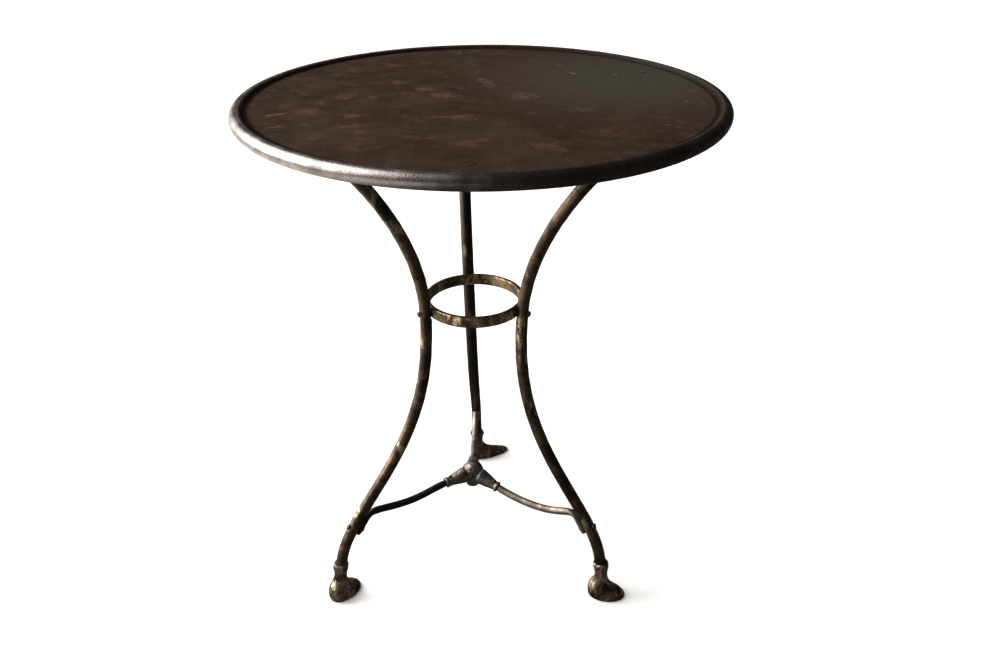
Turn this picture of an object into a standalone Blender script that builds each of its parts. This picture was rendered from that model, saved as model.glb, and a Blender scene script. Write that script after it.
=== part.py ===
"""Round iron bistro table: rolled-rim sheet top, three S-curved legs, collar ring, stretcher and hoof feet.

Metres, +Z up. The origin is on the floor under the middle of the top. Pieces that repeat round the table are
drawn about the base's own axis with +X pointing outwards, and then turned to their leg's direction.
"""

import math

import bmesh
import bpy
from mathutils import Matrix, Vector

# ---------------------------------------------------------------- sizes
HEIGHT = 0.720  # floor to the crest of the rim
TOP_DIAMETER = 0.600
GAP = 0.0003  # between pieces that touch

# rolled rim of the sheet top
SHEET = 0.0015
BEAD_DIAMETER = 0.018
FIELD_DROP = 0.004  # flat field below the crest of the bead
BEAD_CURL_END = 205.0  # degrees, where the rolled edge stops under the sheet
HOOP_DIAMETER = 0.0140

# flat iron ring under the sheet
STIFFENER_INSET = 0.047  # from the top's edge to the middle of the ring
STIFFENER_RADIUS = TOP_DIAMETER / 2 - STIFFENER_INSET
STIFFENER_WIDTH = 0.026
STIFFENER_THICKNESS = 0.004

# legs
LEG_DIRECTIONS = {"rear": 88.9, "front_left": 208.9, "front_right": 328.9}  # degrees from +X
# the base is a little out of true, as hand-bent ones are: lengths in X, and slopes in metres per metre
BASE_OFFSET = -0.0218  # of the base's axis from the top's, at the level of the lower stretcher
BASE_LEAN = 0.0247  # slope of the whole base towards +X as it rises
LEG_LEANS = {"rear": 0.0458, "front_left": 0.0, "front_right": 0.0}  # slope of one leg across its own direction
LEG_BOWS = {"rear": -0.0045, "front_left": 0.0, "front_right": 0.0}  # how far it bows sideways in the middle
TRUE_HEIGHT = 0.110  # level at which BASE_OFFSET holds and no leg leans
LEG_DIAMETER = 0.017
PAD_INSET = 0.015  # from the middle of the stiffening ring in to the start of a leg's pad
PAD_START = STIFFENER_RADIUS - PAD_INSET
PAD_LENGTH = 0.0275
PAD_THICKNESS = 0.006
PAD_WIDTH = 0.024
WAIST_RADIUS = 0.0742
WAIST_TOP = 0.427
WAIST_BOTTOM = 0.404
UPPER_RISE = 0.51  # how long the leg keeps upright above the waist, as a share of that rise
UPPER_TURN = 0.16  # how long it keeps level before the pad, as a share of that reach
ANKLE_RADIUS = 0.2189
ANKLE_HEIGHT = 0.062
ANKLE_LEAN = 8.0  # degrees from upright where the leg enters its foot
LOWER_FALL = 0.563
ANKLE_RISE = 0.281
TENON_DIAMETER = 0.010
TENON_LENGTH = 0.020

# collar ring
COLLAR_HEIGHT = 0.438  # middle of the band above the floor
COLLAR_BAND = 0.016
COLLAR_THICKNESS = 0.007
COLLAR_NOTCH = 0.003  # depth of the seat filed in each leg

# hub and stretcher arms
HUB_CENTRE = 0.143  # where the three socket axes meet, above the floor
HUB_RADIUS = 0.0172
HUB_SKIRT = 0.022  # from the centre down to the flat underside
SOCKET_SLOPES = {"rear": 11.0, "front_left": 5.0, "front_right": 17.0}  # degrees below level; the casting is uneven
SOCKET_REACH = 0.047  # from the centre to the socket's mouth
SOCKET_ROOT_DIAMETER = 0.025
SOCKET_MOUTH_DIAMETER = 0.0155
SOCKET_LIP = 0.0008  # how far the lip round the mouth stands out
SOCKET_LIP_WIDTH = 0.004
ARM_DIAMETER = 0.0115
ARM_TENON_DIAMETER = 0.008
ARM_TENON_LENGTH = 0.018
ARM_LOW_RADIUS = 0.112  # lowest point of the arm between hub and leg
ARM_LOW_HEIGHTS = {"rear": 0.1255, "front_left": 0.1305, "front_right": 0.1205}
ARM_LOW_RISE = 2.0  # degrees above level at that point
ARM_REACHES = (0.022, 0.025, 0.040, 0.018)  # lengths of the curve's handles from hub to leg
ARM_TAB_START = 0.134  # height on the leg where the arm lies against it
ARM_TAB_END = 0.109
ARM_TAB_THICKNESS = 0.006
ARM_TAB_WIDTH = 0.013

# feet: direction of the toe in degrees from +X, reach of the toe and of the heel from the leg, and half width
FEET = {
    "rear": (24.0, 0.060, 0.013, 0.0118),
    "front_left": (50.0, 0.034, 0.021, 0.0178),
    "front_right": (-8.0, 0.038, 0.0185, 0.0178),
}
FOOT_RIM_RADIUS = 0.0104
FOOT_SOCKET_RADIUS = 0.0114
FOOT_SOCKET_SHIFT = 0.0008  # the socket stands out a little on the leg's outer side
FOOT_NECK = 0.036  # the socket leans with the leg above this height
FOOT_NECK_RADIUS = 0.0096
# height, then shares of the way from the neck's radius to the toe's reach, the heel's reach and the half width
FOOT_SECTIONS = (
    (0.0300, 0.06, 0.30, 0.22),
    (0.0240, 0.16, 0.72, 0.50),
    (0.0185, 0.30, 0.98, 0.74),
    (0.0135, 0.54, 1.04, 0.90),
    (0.0095, 0.80, 1.02, 0.98),
    (0.0050, 0.97, 0.96, 1.00),
    (0.0015, 1.00, 0.86, 0.97),
    (0.0000, 0.96, 0.78, 0.90),
)

# rivets and pins
RIVET_DIAMETER = 0.005
RIVET_HEAD_DIAMETER = 0.009
RIVET_HEAD_HEIGHT = 0.0025
COUNTERSINK_DIAMETER = 0.009
COUNTERSINK_DEPTH = 0.0012
PAD_RIVET_INSET = 0.0075  # from each edge of the stiffening ring to the rivets through a pad
PIN_DIAMETER = 0.004
PIN_HEAD = 1.5  # head to shank
PIN_HEAD_HEIGHT = 0.0008

# number of sides
RIM_SIDES = 60
COLLAR_SIDES = 42
BAR_SIDES = 12
ARM_SIDES = 10
HUB_SIDES = 24
SOCKET_SIDES = 14
FOOT_SIDES = 18
RIVET_SIDES = 8

# ---------------------------------------------------------------- derived places
TOP_RADIUS = TOP_DIAMETER / 2
BEAD_RADIUS = BEAD_DIAMETER / 2
BEAD_CENTRE = Vector((TOP_RADIUS - BEAD_RADIUS, HEIGHT - BEAD_RADIUS))
FIELD_HEIGHT = HEIGHT - FIELD_DROP
SHEET_UNDERSIDE = FIELD_HEIGHT - SHEET
STIFFENER_TOP = SHEET_UNDERSIDE - GAP
STIFFENER_BOTTOM = STIFFENER_TOP - STIFFENER_THICKNESS
PAD_TOP = STIFFENER_BOTTOM - GAP
PAD_MIDDLE = PAD_TOP - PAD_THICKNESS / 2
LEG_RADIUS = LEG_DIAMETER / 2
COLLAR_OUTER = WAIST_RADIUS - LEG_RADIUS + COLLAR_NOTCH - GAP
COLLAR_INNER = COLLAR_OUTER - COLLAR_THICKNESS
PAD_RIVETS = (
    STIFFENER_RADIUS - STIFFENER_WIDTH / 2 + PAD_RIVET_INSET,
    STIFFENER_RADIUS + STIFFENER_WIDTH / 2 - PAD_RIVET_INSET,
)


# ---------------------------------------------------------------- helpers
def clear_scene():
    for old in list(bpy.data.objects):
        bpy.data.objects.remove(old, do_unlink=True)


def make_material(name, colour, roughness, metallic):
    material = bpy.data.materials.new(name)
    material.use_nodes = True
    shader = material.node_tree.nodes["Principled BSDF"]
    shader.inputs["Base Color"].default_value = (*colour, 1.0)
    shader.inputs["Roughness"].default_value = roughness
    shader.inputs["Metallic"].default_value = metallic
    material.diffuse_color = (*colour, 1.0)
    return material


def mesh_from(shape, name):
    """A mesh from a finished bmesh, with its faces pointing out and round stretches shaded smooth."""
    bmesh.ops.recalc_face_normals(shape, faces=shape.faces)
    mesh = bpy.data.meshes.new(name)
    shape.to_mesh(mesh)
    shape.free()
    mesh.shade_smooth()
    mesh.set_sharp_from_angle(angle=math.radians(35))
    return mesh


def place(name, mesh, material, direction=0.0, parent=None):
    """An object with this mesh, turned about its parent's axis to the direction in degrees."""
    if not mesh.materials:
        mesh.materials.append(material)
    piece = bpy.data.objects.new(name, mesh)
    bpy.context.scene.collection.objects.link(piece)
    piece.rotation_euler.z = math.radians(direction)
    piece.parent = parent or BASE
    return piece


def combine(piece, label, other_mesh, direction=0.0, operation="DIFFERENCE"):
    """Cuts the mesh from the piece, or joins it to the piece; the shapes in one mesh never cross each other.

    The mesh is drawn about the base's axis."""
    other = place(f"{piece.name}_{label}", other_mesh, IRON_BAR, direction)
    other.hide_render = True
    other.display_type = "WIRE"
    boolean = piece.modifiers.new(label, "BOOLEAN")
    boolean.operation = operation
    boolean.solver = "EXACT"
    boolean.object = other


def turned(profile, sides, name):
    """A closed solid turned about Z from (radius, height) points that start and end on the axis, or close."""
    shape = bmesh.new()
    points = [shape.verts.new((radius, 0.0, height)) for radius, height in profile]
    closed = profile[0][0] > 0.0
    ends = points[1:] + points[:1] if closed else points[1:]
    edges = [shape.edges.new(pair) for pair in zip(points, ends)]
    turn = 2 * math.pi
    axis = (0.0, 0.0, 1.0)
    bmesh.ops.spin(shape, geom=points + edges, cent=(0, 0, 0), axis=axis, angle=turn, steps=sides, use_merge=True)
    bmesh.ops.remove_doubles(shape, verts=shape.verts, dist=1e-6)
    return mesh_from(shape, name)


def add_loft(shape, rings):
    """Skins a row of rings that have the same number of points, and closes both ends."""
    rows = [[shape.verts.new(point) for point in ring] for ring in rings]
    for first, second in zip(rows, rows[1:]):
        for index in range(len(first)):
            after = (index + 1) % len(first)
            shape.faces.new((first[index], first[after], second[after], second[index]))
    shape.faces.new(list(reversed(rows[0])))
    shape.faces.new(rows[-1])


def add_stepped(shape, start, way, steps, sides=RIVET_SIDES):
    """A closed round shape along a line, from (distance, radius) steps."""
    turn = Vector(way).to_track_quat("Z", "X").to_matrix()
    rings = []
    for distance, radius in steps:
        ring = []
        for index in range(sides):
            angle = 2 * math.pi * index / sides
            spot = Vector((radius * math.cos(angle), radius * math.sin(angle), distance))
            ring.append(Vector(start) + turn @ spot)
        rings.append(ring)
    add_loft(shape, rings)


def add_cylinder(shape, start, end, radius, sides=RIVET_SIDES):
    """A closed cylinder between two points."""
    way = Vector(end) - Vector(start)
    add_stepped(shape, start, way, ((0.0, radius), (way.length, radius)), sides)


def bezier(start, start_handle, end_handle, end, steps):
    """Points along a cubic curve in the (radius, height) plane."""
    points = []
    for step in range(steps + 1):
        t = step / steps
        s = 1 - t
        point = start * s**3 + start_handle * (3 * s * s * t) + end_handle * (3 * s * t * t) + end * t**3
        points.append(point)
    return points


def bar_ring(centre, along, half_thickness, half_width, squareness=2.0, sides=BAR_SIDES):
    """One section of a bar that runs in the (radius, height) plane; 2 is an ellipse and more is squarer."""
    across = Vector((-along.y, along.x))
    ring = []
    for index in range(sides):
        angle = 2 * math.pi * index / sides
        u = math.copysign(abs(math.cos(angle)) ** (2 / squareness), math.cos(angle))
        v = math.copysign(abs(math.sin(angle)) ** (2 / squareness), math.sin(angle))
        point = centre + across * (u * half_thickness)
        ring.append(Vector((point.x, v * half_width, point.y)))
    return ring


def tangents(points):
    """The direction of the path at each of its points."""
    found = []
    for index, point in enumerate(points):
        before = points[max(index - 1, 0)]
        after = points[min(index + 1, len(points) - 1)]
        found.append((after - before).normalized())
    return found


# ---------------------------------------------------------------- table top
def top_sheet_profile():
    """The sheet's section: flat field, rolled bead, and the wall's inner side back to the middle."""
    wall_radius = BEAD_RADIUS - SHEET
    outer_start = 180 - math.degrees(math.asin((FIELD_HEIGHT - BEAD_CENTRE.y) / BEAD_RADIUS))
    inner_start = 180 - math.degrees(math.asin((SHEET_UNDERSIDE - BEAD_CENTRE.y) / wall_radius))

    def on_bead(radius, degrees):
        angle = math.radians(degrees)
        return (BEAD_CENTRE.x + radius * math.cos(angle), BEAD_CENTRE.y + radius * math.sin(angle))

    steps = 10
    curl = BEAD_CURL_END - 360
    profile = [(0.0, FIELD_HEIGHT)]
    for step in range(steps + 1):
        profile.append(on_bead(BEAD_RADIUS, outer_start + (curl - outer_start) * step / steps))
    for step in range(steps + 1):
        profile.append(on_bead(wall_radius, curl + (inner_start - curl) * step / steps))
    profile.append((0.0, SHEET_UNDERSIDE))
    return profile


def turn_to(direction):
    return Matrix.Rotation(math.radians(direction), 3, "Z")


def base_shift(height):
    """How far the base's axis has moved at a height, from where it is at the lower stretcher."""
    return Vector((BASE_LEAN * (height - TRUE_HEIGHT), 0.0, 0.0))


def leg_shift(place_name, height):
    """How far the leg has moved at a height, drawn with +X as its own direction."""
    moved = turn_to(-LEG_DIRECTIONS[place_name]) @ base_shift(height)
    moved.y += leg_side_shift(place_name, height)
    return moved


def leg_side_shift(place_name, height):
    """How far the leg stands to one side at a height because it leans and bows."""
    rise = min(max((height - ANKLE_HEIGHT) / (PAD_MIDDLE - ANKLE_HEIGHT), 0.0), 1.0)
    bow = 4 * rise * (1 - rise) * LEG_BOWS[place_name]
    return LEG_LEANS[place_name] * (height - TRUE_HEIGHT) + bow


def ring_rivet_places():
    """The foot of every rivet through the sheet and the stiffening ring, at floor level."""
    places = []
    for place_name, direction in LEG_DIRECTIONS.items():
        shift = leg_shift(place_name, PAD_MIDDLE)
        places += [turn_to(direction) @ (Vector((radius, 0.0, 0.0)) + shift) for radius in PAD_RIVETS]
        between = turn_to(direction + 60.0) @ Vector((STIFFENER_RADIUS, 0.0, 0.0))
        places.append(between + base_shift(PAD_MIDDLE))
    return places


def build_top():
    sheet_mesh = turned(top_sheet_profile(), RIM_SIDES, "top_sheet")
    sheet = place("top_sheet", sheet_mesh, SHEET_IRON, parent=TABLE)
    holes = bmesh.new()
    shank = RIVET_DIAMETER / 2 + GAP
    wide = COUNTERSINK_DIAMETER / 2 + GAP
    flare = (wide - shank) / COUNTERSINK_DEPTH
    for spot in ring_rivet_places():
        start = spot + Vector((0, 0, FIELD_HEIGHT - SHEET * 3))
        steps = (
            (0.0, shank),
            (SHEET * 3 - COUNTERSINK_DEPTH - GAP, shank),
            (SHEET * 3 + GAP, wide + flare * GAP),
        )
        add_stepped(holes, start, (0, 0, 1), steps)
    combine(sheet, "holes", mesh_from(holes, "sheet_holes"))

    hoop_radius = HOOP_DIAMETER / 2
    hoop_profile = []
    for step in range(8):
        angle = 2 * math.pi * step / 8
        point = BEAD_CENTRE + Vector((math.cos(angle), math.sin(angle))) * hoop_radius
        hoop_profile.append((point.x, point.y))
    place("rim_hoop", turned(hoop_profile, RIM_SIDES, "rim_hoop"), IRON_BAR, parent=TABLE)

    inner = STIFFENER_RADIUS - STIFFENER_WIDTH / 2
    outer = STIFFENER_RADIUS + STIFFENER_WIDTH / 2
    flat = [
        (inner, STIFFENER_TOP),
        (outer, STIFFENER_TOP),
        (outer, STIFFENER_BOTTOM),
        (inner, STIFFENER_BOTTOM),
    ]
    ring = place("stiffener_ring", turned(flat, RIM_SIDES, "stiffener_ring"), IRON_BAR)
    ring.location = base_shift(PAD_MIDDLE)
    holes = bmesh.new()
    for spot in ring_rivet_places():
        low = spot + Vector((0, 0, STIFFENER_BOTTOM - STIFFENER_THICKNESS))
        high = spot + Vector((0, 0, STIFFENER_TOP + STIFFENER_THICKNESS))
        add_cylinder(holes, low, high, RIVET_DIAMETER / 2 + GAP)
    combine(ring, "holes", mesh_from(holes, "stiffener_holes"))


# ---------------------------------------------------------------- legs
def leg_path():
    """Points down the middle of a leg from its pad to its foot, in the (radius, height) plane."""
    pad = Vector((PAD_START, PAD_MIDDLE))
    waist_top = Vector((WAIST_RADIUS, WAIST_TOP))
    waist_bottom = Vector((WAIST_RADIUS, WAIST_BOTTOM))
    ankle = Vector((ANKLE_RADIUS, ANKLE_HEIGHT))
    fall = WAIST_BOTTOM - ANKLE_HEIGHT
    upper = bezier(
        pad,
        pad - Vector((UPPER_TURN * (PAD_START - WAIST_RADIUS), 0.0)),
        waist_top + Vector((0.0, UPPER_RISE * (PAD_MIDDLE - WAIST_TOP))),
        waist_top,
        14,
    )
    lower = bezier(
        waist_bottom,
        waist_bottom - Vector((0.0, LOWER_FALL * fall)),
        ankle - foot_way() * (ANKLE_RISE * fall),
        ankle,
        16,
    )
    return upper + lower


def foot_way():
    """The direction in which the leg enters its foot."""
    lean = math.radians(ANKLE_LEAN)
    return Vector((math.sin(lean), -math.cos(lean)))


def leg_ways(path):
    """The leg's direction at each point of its path: level at the pad, and leaning as the foot does at its end."""
    return [Vector((-1.0, 0.0))] + tangents(path)[1:-1] + [foot_way()]


def leg_at_height(height):
    """The leg's middle and its downward direction at a height below the waist."""
    path = leg_path()
    ways = leg_ways(path)
    for index in range(len(path) - 1, 0, -1):
        low, high = path[index], path[index - 1]
        if low.y <= height <= high.y:
            share = (height - low.y) / (high.y - low.y)
            return low.lerp(high, share), ways[index].lerp(ways[index - 1], share).normalized()
    raise ValueError("no such height on the leg")


def leaned(rings, place_name):
    """The rings, each point moved as the leg is at its height."""
    return [[point + leg_shift(place_name, point.z) for point in ring] for ring in rings]


def build_leg_mesh(place_name):
    path = leg_path()
    ways = leg_ways(path)
    rings = []
    pad_end = PAD_START + PAD_LENGTH
    round_end = PAD_WIDTH / 3
    half_pad = PAD_THICKNESS / 2
    for radius, width in (
        (pad_end, PAD_WIDTH * 0.55),
        (pad_end - round_end / 2, PAD_WIDTH * 0.88),
        (pad_end - round_end, PAD_WIDTH),
        (PAD_START + PAD_THICKNESS, PAD_WIDTH),
    ):
        rings.append(bar_ring(Vector((radius, PAD_MIDDLE)), ways[0], half_pad, width / 2, 6.0))
    blend = 3  # path points over which the flattened pad becomes round bar
    for index, (point, way) in enumerate(zip(path, ways)):
        share = min(index / blend, 1.0)
        half_thickness = half_pad + (LEG_RADIUS - half_pad) * share
        half_width = PAD_WIDTH / 2 + (LEG_RADIUS - PAD_WIDTH / 2) * share
        rings.append(bar_ring(point, way, half_thickness, half_width, 6.0 - 4.0 * share))
    tenon = TENON_DIAMETER / 2
    rings.append(bar_ring(path[-1], foot_way(), tenon, tenon))
    rings.append(bar_ring(path[-1] + foot_way() * TENON_LENGTH, foot_way(), tenon, tenon))
    shape = bmesh.new()
    add_loft(shape, leaned(rings, place_name))
    return mesh_from(shape, "leg_" + place_name)


def arm_rivet_line():
    """The start, the way and the leg's middle of the rivet from the leg's outer side through the arm's tab."""
    middle, way = leg_at_height((ARM_TAB_START + ARM_TAB_END) / 2 - ARM_TAB_THICKNESS / 2)
    inwards = Vector((way.y, -way.x))
    if inwards.x > 0:
        inwards = -inwards
    return middle - inwards * LEG_RADIUS, inwards


def add_arm_rivet_hole(shape, place_name):
    outside, inwards = arm_rivet_line()
    shift = leg_shift(place_name, outside.y)
    start = in_space(outside - inwards * LEG_RADIUS) + shift
    end = in_space(outside + inwards * LEG_DIAMETER * 2) + shift
    add_cylinder(shape, start, end, RIVET_DIAMETER / 2 + GAP)


def foot_pin_height():
    """The foot's pin goes through the widest part of its socket."""
    return ANKLE_HEIGHT - FOOT_SOCKET_RADIUS / 2


def foot_axis(height):
    """The middle of the foot's socket at a height, on the line that the leg's end points along."""
    return Vector((ANKLE_RADIUS, ANKLE_HEIGHT)) + foot_way() * ((height - ANKLE_HEIGHT) / foot_way().y)


def in_space(point, side=0.0):
    return Vector((point.x, side, point.y))


def collar_seat():
    """The disc that the collar ring's seat in each leg is filed to."""
    shape = bmesh.new()
    seat = (COLLAR_OUTER + GAP) / math.cos(math.pi / COLLAR_SIDES)
    low = base_shift(COLLAR_HEIGHT) + Vector((0, 0, COLLAR_HEIGHT - COLLAR_BAND / 2 - GAP))
    add_cylinder(shape, low, low + Vector((0, 0, COLLAR_BAND + GAP * 2)), seat, COLLAR_SIDES)
    return mesh_from(shape, "collar_seat")


def collar_leg_middle(place_name):
    """The middle of the leg at the collar ring, from the ring's own axis, drawn with +X as the leg's direction."""
    path = leg_path()
    for low, high in zip(path[1:], path):
        if low.y <= COLLAR_HEIGHT <= high.y:
            radius = low.lerp(high, (COLLAR_HEIGHT - low.y) / (high.y - low.y)).x
    return Vector((radius, leg_side_shift(place_name, COLLAR_HEIGHT), 0.0))


def collar_rivet_turn(place_name):
    """Degrees from the leg's direction to the middle of the leg at the collar ring, seen from the ring's axis."""
    middle = collar_leg_middle(place_name)
    return math.degrees(math.atan2(middle.y, middle.x))


def build_leg_holes(place_name):
    shape = bmesh.new()
    hole = RIVET_DIAMETER / 2 + GAP
    for radius in PAD_RIVETS:
        low = Vector((radius, 0, PAD_TOP - PAD_THICKNESS * 2)) + leg_shift(place_name, PAD_MIDDLE)
        add_cylinder(shape, low, low + Vector((0, 0, PAD_THICKNESS * 3)), hole)
    moved = turn_to(-LEG_DIRECTIONS[place_name]) @ base_shift(COLLAR_HEIGHT)
    turn = turn_to(collar_rivet_turn(place_name))
    start = turn @ Vector((WAIST_RADIUS - LEG_DIAMETER, 0, COLLAR_HEIGHT)) + moved
    end = turn @ Vector((WAIST_RADIUS + LEG_DIAMETER, 0, COLLAR_HEIGHT)) + moved
    add_cylinder(shape, start, end, hole)
    add_arm_rivet_hole(shape, place_name)
    add_foot_pin_hole(shape, place_name)
    return mesh_from(shape, "leg_holes_" + place_name)


def build_legs():
    seat = collar_seat()
    for place_name, direction in LEG_DIRECTIONS.items():
        leg = place("leg_" + place_name, build_leg_mesh(place_name), IRON_BAR, direction)
        combine(leg, "seat", seat)
        combine(leg, "holes", build_leg_holes(place_name), direction)


# ---------------------------------------------------------------- collar ring
def build_collar():
    corner = COLLAR_THICKNESS / 5
    low = COLLAR_HEIGHT - COLLAR_BAND / 2
    high = COLLAR_HEIGHT + COLLAR_BAND / 2
    band = [
        (COLLAR_INNER, high - corner),
        (COLLAR_INNER + corner, high),
        (COLLAR_OUTER - corner, high),
        (COLLAR_OUTER, high - corner),
        (COLLAR_OUTER, low + corner),
        (COLLAR_OUTER - corner, low),
        (COLLAR_INNER + corner, low),
        (COLLAR_INNER, low + corner),
    ]
    ring = place("collar_ring", turned(band, COLLAR_SIDES, "collar_ring"), IRON_BAR)
    ring.location = base_shift(COLLAR_HEIGHT)
    holes = bmesh.new()
    for place_name, direction in LEG_DIRECTIONS.items():
        turn = turn_to(direction + collar_rivet_turn(place_name))
        start = turn @ Vector((COLLAR_INNER - COLLAR_THICKNESS, 0, COLLAR_HEIGHT)) + ring.location
        end = turn @ Vector((COLLAR_OUTER + COLLAR_THICKNESS, 0, COLLAR_HEIGHT)) + ring.location
        add_cylinder(holes, start, end, RIVET_DIAMETER / 2 + GAP)
    combine(ring, "holes", mesh_from(holes, "collar_holes"))


# ---------------------------------------------------------------- hub and arms
def socket_way(place_name):
    slope = math.radians(SOCKET_SLOPES[place_name])
    return Vector((math.cos(slope), -math.sin(slope)))


def socket_point(place_name, distance):
    """A point on a socket's axis, at this distance from the hub's centre."""
    return Vector((0.0, HUB_CENTRE)) + socket_way(place_name) * distance


def build_hub():
    top = HUB_CENTRE + HUB_RADIUS
    profile = [(0.0, top)]
    for degrees in (68, 48, 28, 8, -12):
        angle = math.radians(degrees)
        profile.append((HUB_RADIUS * math.cos(angle), HUB_CENTRE + HUB_RADIUS * math.sin(angle)))
    profile.append((HUB_RADIUS * 0.85, HUB_CENTRE - HUB_SKIRT * 0.62))
    profile.append((HUB_RADIUS * 0.60, HUB_CENTRE - HUB_SKIRT * 0.72))
    profile.append((HUB_RADIUS * 0.60, HUB_CENTRE - HUB_SKIRT))
    profile.append((0.0, HUB_CENTRE - HUB_SKIRT))
    hub = place("hub", turned(profile, HUB_SIDES, "hub"), CAST_IRON)
    for place_name, direction in LEG_DIRECTIONS.items():
        rings = []
        for distance, radius in socket_sections():
            middle = socket_point(place_name, distance)
            rings.append(bar_ring(middle, socket_way(place_name), radius, radius, sides=SOCKET_SIDES))
        shape = bmesh.new()
        add_loft(shape, rings)
        socket = mesh_from(shape, "socket_" + place_name)
        combine(hub, "socket_" + place_name, socket, direction, "UNION")
    bore = ARM_TENON_DIAMETER / 2 + GAP
    bores = bmesh.new()
    pins = bmesh.new()
    for place_name, direction in LEG_DIRECTIONS.items():
        turn = turn_to(direction)
        inner_end = in_space(socket_point(place_name, SOCKET_REACH - ARM_TENON_LENGTH - GAP))
        outer_end = in_space(socket_point(place_name, SOCKET_REACH + ARM_TENON_LENGTH))
        add_cylinder(bores, turn @ inner_end, turn @ outer_end, bore, ARM_SIDES)
        low, high = hub_pin_ends(place_name, SOCKET_ROOT_DIAMETER)
        add_cylinder(pins, turn @ low, turn @ high, PIN_DIAMETER / 2 + GAP)
    combine(hub, "bores", mesh_from(bores, "hub_bores"))
    combine(hub, "pins", mesh_from(pins, "hub_pins"))


def hub_pin_ends(place_name, reach):
    """Ends of a line through a socket and the tenon in it, square to the socket's axis."""
    middle = socket_point(place_name, SOCKET_REACH - ARM_TENON_LENGTH / 2)
    way = socket_way(place_name)
    square = Vector((-way.y, way.x))
    return in_space(middle - square * reach), in_space(middle + square * reach)


def socket_sections():
    """(distance from the hub's centre, outer radius) along a socket: a taper, then a lip round the mouth."""
    root = SOCKET_ROOT_DIAMETER / 2
    mouth = SOCKET_MOUTH_DIAMETER / 2
    lip_start = SOCKET_REACH - SOCKET_LIP_WIDTH
    return (
        (HUB_RADIUS * 0.2, root * 0.8),
        (HUB_RADIUS * 0.9, root),
        (SOCKET_REACH * 0.68, (root + mouth * 2) / 3),
        (lip_start - SOCKET_LIP, mouth - SOCKET_LIP),
        (lip_start, mouth + SOCKET_LIP),
        (SOCKET_REACH - SOCKET_LIP, mouth + SOCKET_LIP),
        (SOCKET_REACH, mouth),
    )


def socket_radius(distance):
    sections = socket_sections()
    for (start, before), (end, after) in zip(sections, sections[1:]):
        if start <= distance <= end:
            return before + (after - before) * (distance - start) / (end - start)
    raise ValueError("not on the socket")


def arm_tab_point(height):
    """The middle of the arm's tab against the leg at a height, and the way that the leg runs there."""
    middle, way = leg_at_height(height)
    inwards = Vector((way.y, -way.x))
    if inwards.x > 0:
        inwards = -inwards
    return middle + inwards * (LEG_RADIUS + GAP + ARM_TAB_THICKNESS / 2), way


def arm_rings(place_name):
    """The arm's sections from its tenon to the end of its tab, each with its share of the leg's shift."""
    tenon = ARM_TENON_DIAMETER / 2
    full = ARM_DIAMETER / 2
    way = socket_way(place_name)
    shoulder = socket_point(place_name, SOCKET_REACH + GAP)
    low = Vector((ARM_LOW_RADIUS, ARM_LOW_HEIGHTS[place_name]))
    rise = math.radians(ARM_LOW_RISE)
    low_way = Vector((math.cos(rise), math.sin(rise)))
    meet, meet_way = arm_tab_point(ARM_TAB_START)
    leave, dip, climb, arrive = ARM_REACHES
    curve = bezier(shoulder, shoulder + way * leave, low - low_way * dip, low, 5)
    curve += bezier(low, low + low_way * climb, meet - meet_way * arrive, meet, 8)[1:]
    ways = tangents(curve)
    ways[0] = way
    ways[-1] = meet_way
    rings = []
    for distance in (SOCKET_REACH - ARM_TENON_LENGTH, SOCKET_REACH):
        rings.append(bar_ring(socket_point(place_name, distance), way, tenon, tenon, sides=ARM_SIDES))
    shares = [0.0, 0.0]
    half_tab, half_width = ARM_TAB_THICKNESS / 2, ARM_TAB_WIDTH / 2
    blend = 3  # curve points over which the round arm flattens to its tab
    for index, (point, direction) in enumerate(zip(curve, ways)):
        share = max(0.0, 1 - (len(curve) - 1 - index) / blend)
        thickness = full + (half_tab - full) * share
        width = full + (half_width - full) * share
        rings.append(bar_ring(point, direction, thickness, width, 2 + 2 * share, ARM_SIDES))
        shares.append(index / (len(curve) - 1))
    steps = 3
    for step in range(1, steps + 1):
        height = ARM_TAB_START + (ARM_TAB_END - ARM_TAB_START) * step / steps
        point, direction = arm_tab_point(height)
        width = half_width if step < steps else half_width * 0.6
        rings.append(bar_ring(point, direction, half_tab, width, 4.0, ARM_SIDES))
        shares.append(1.0)
    return rings, shares


def build_arms():
    for place_name, direction in LEG_DIRECTIONS.items():
        rings, shares = arm_rings(place_name)
        moved = []
        for ring, share in zip(rings, shares):
            moved.append([point + leg_shift(place_name, point.z) * share for point in ring])
        shape = bmesh.new()
        add_loft(shape, moved)
        mesh = mesh_from(shape, "stretcher_arm_" + place_name)
        arm = place("stretcher_arm_" + place_name, mesh, IRON_BAR, direction)
        holes = bmesh.new()
        add_arm_rivet_hole(holes, place_name)
        low, high = hub_pin_ends(place_name, ARM_TENON_DIAMETER)
        add_cylinder(holes, low, high, PIN_DIAMETER / 2 + GAP)
        combine(arm, "holes", mesh_from(holes, "arm_holes_" + place_name), direction)


# ---------------------------------------------------------------- feet
def foot_bore(place_name):
    ankle = Vector((ANKLE_RADIUS, ANKLE_HEIGHT))
    radius = TENON_DIAMETER / 2 + GAP
    rings = []
    for distance in (-LEG_RADIUS, TENON_LENGTH + GAP):
        rings.append(bar_ring(ankle + foot_way() * distance, foot_way(), radius, radius))
    shape = bmesh.new()
    add_loft(shape, leaned(rings, place_name))
    return mesh_from(shape, "foot_bore_" + place_name)


def foot_pin_middle(place_name):
    height = foot_pin_height()
    return in_space(foot_axis(height)) + leg_shift(place_name, height)


def add_foot_pin_hole(shape, place_name):
    middle = foot_pin_middle(place_name)
    reach = Vector((0, TENON_DIAMETER * 2, 0))
    add_cylinder(shape, middle - reach, middle + reach, PIN_DIAMETER / 2 + GAP)


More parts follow.
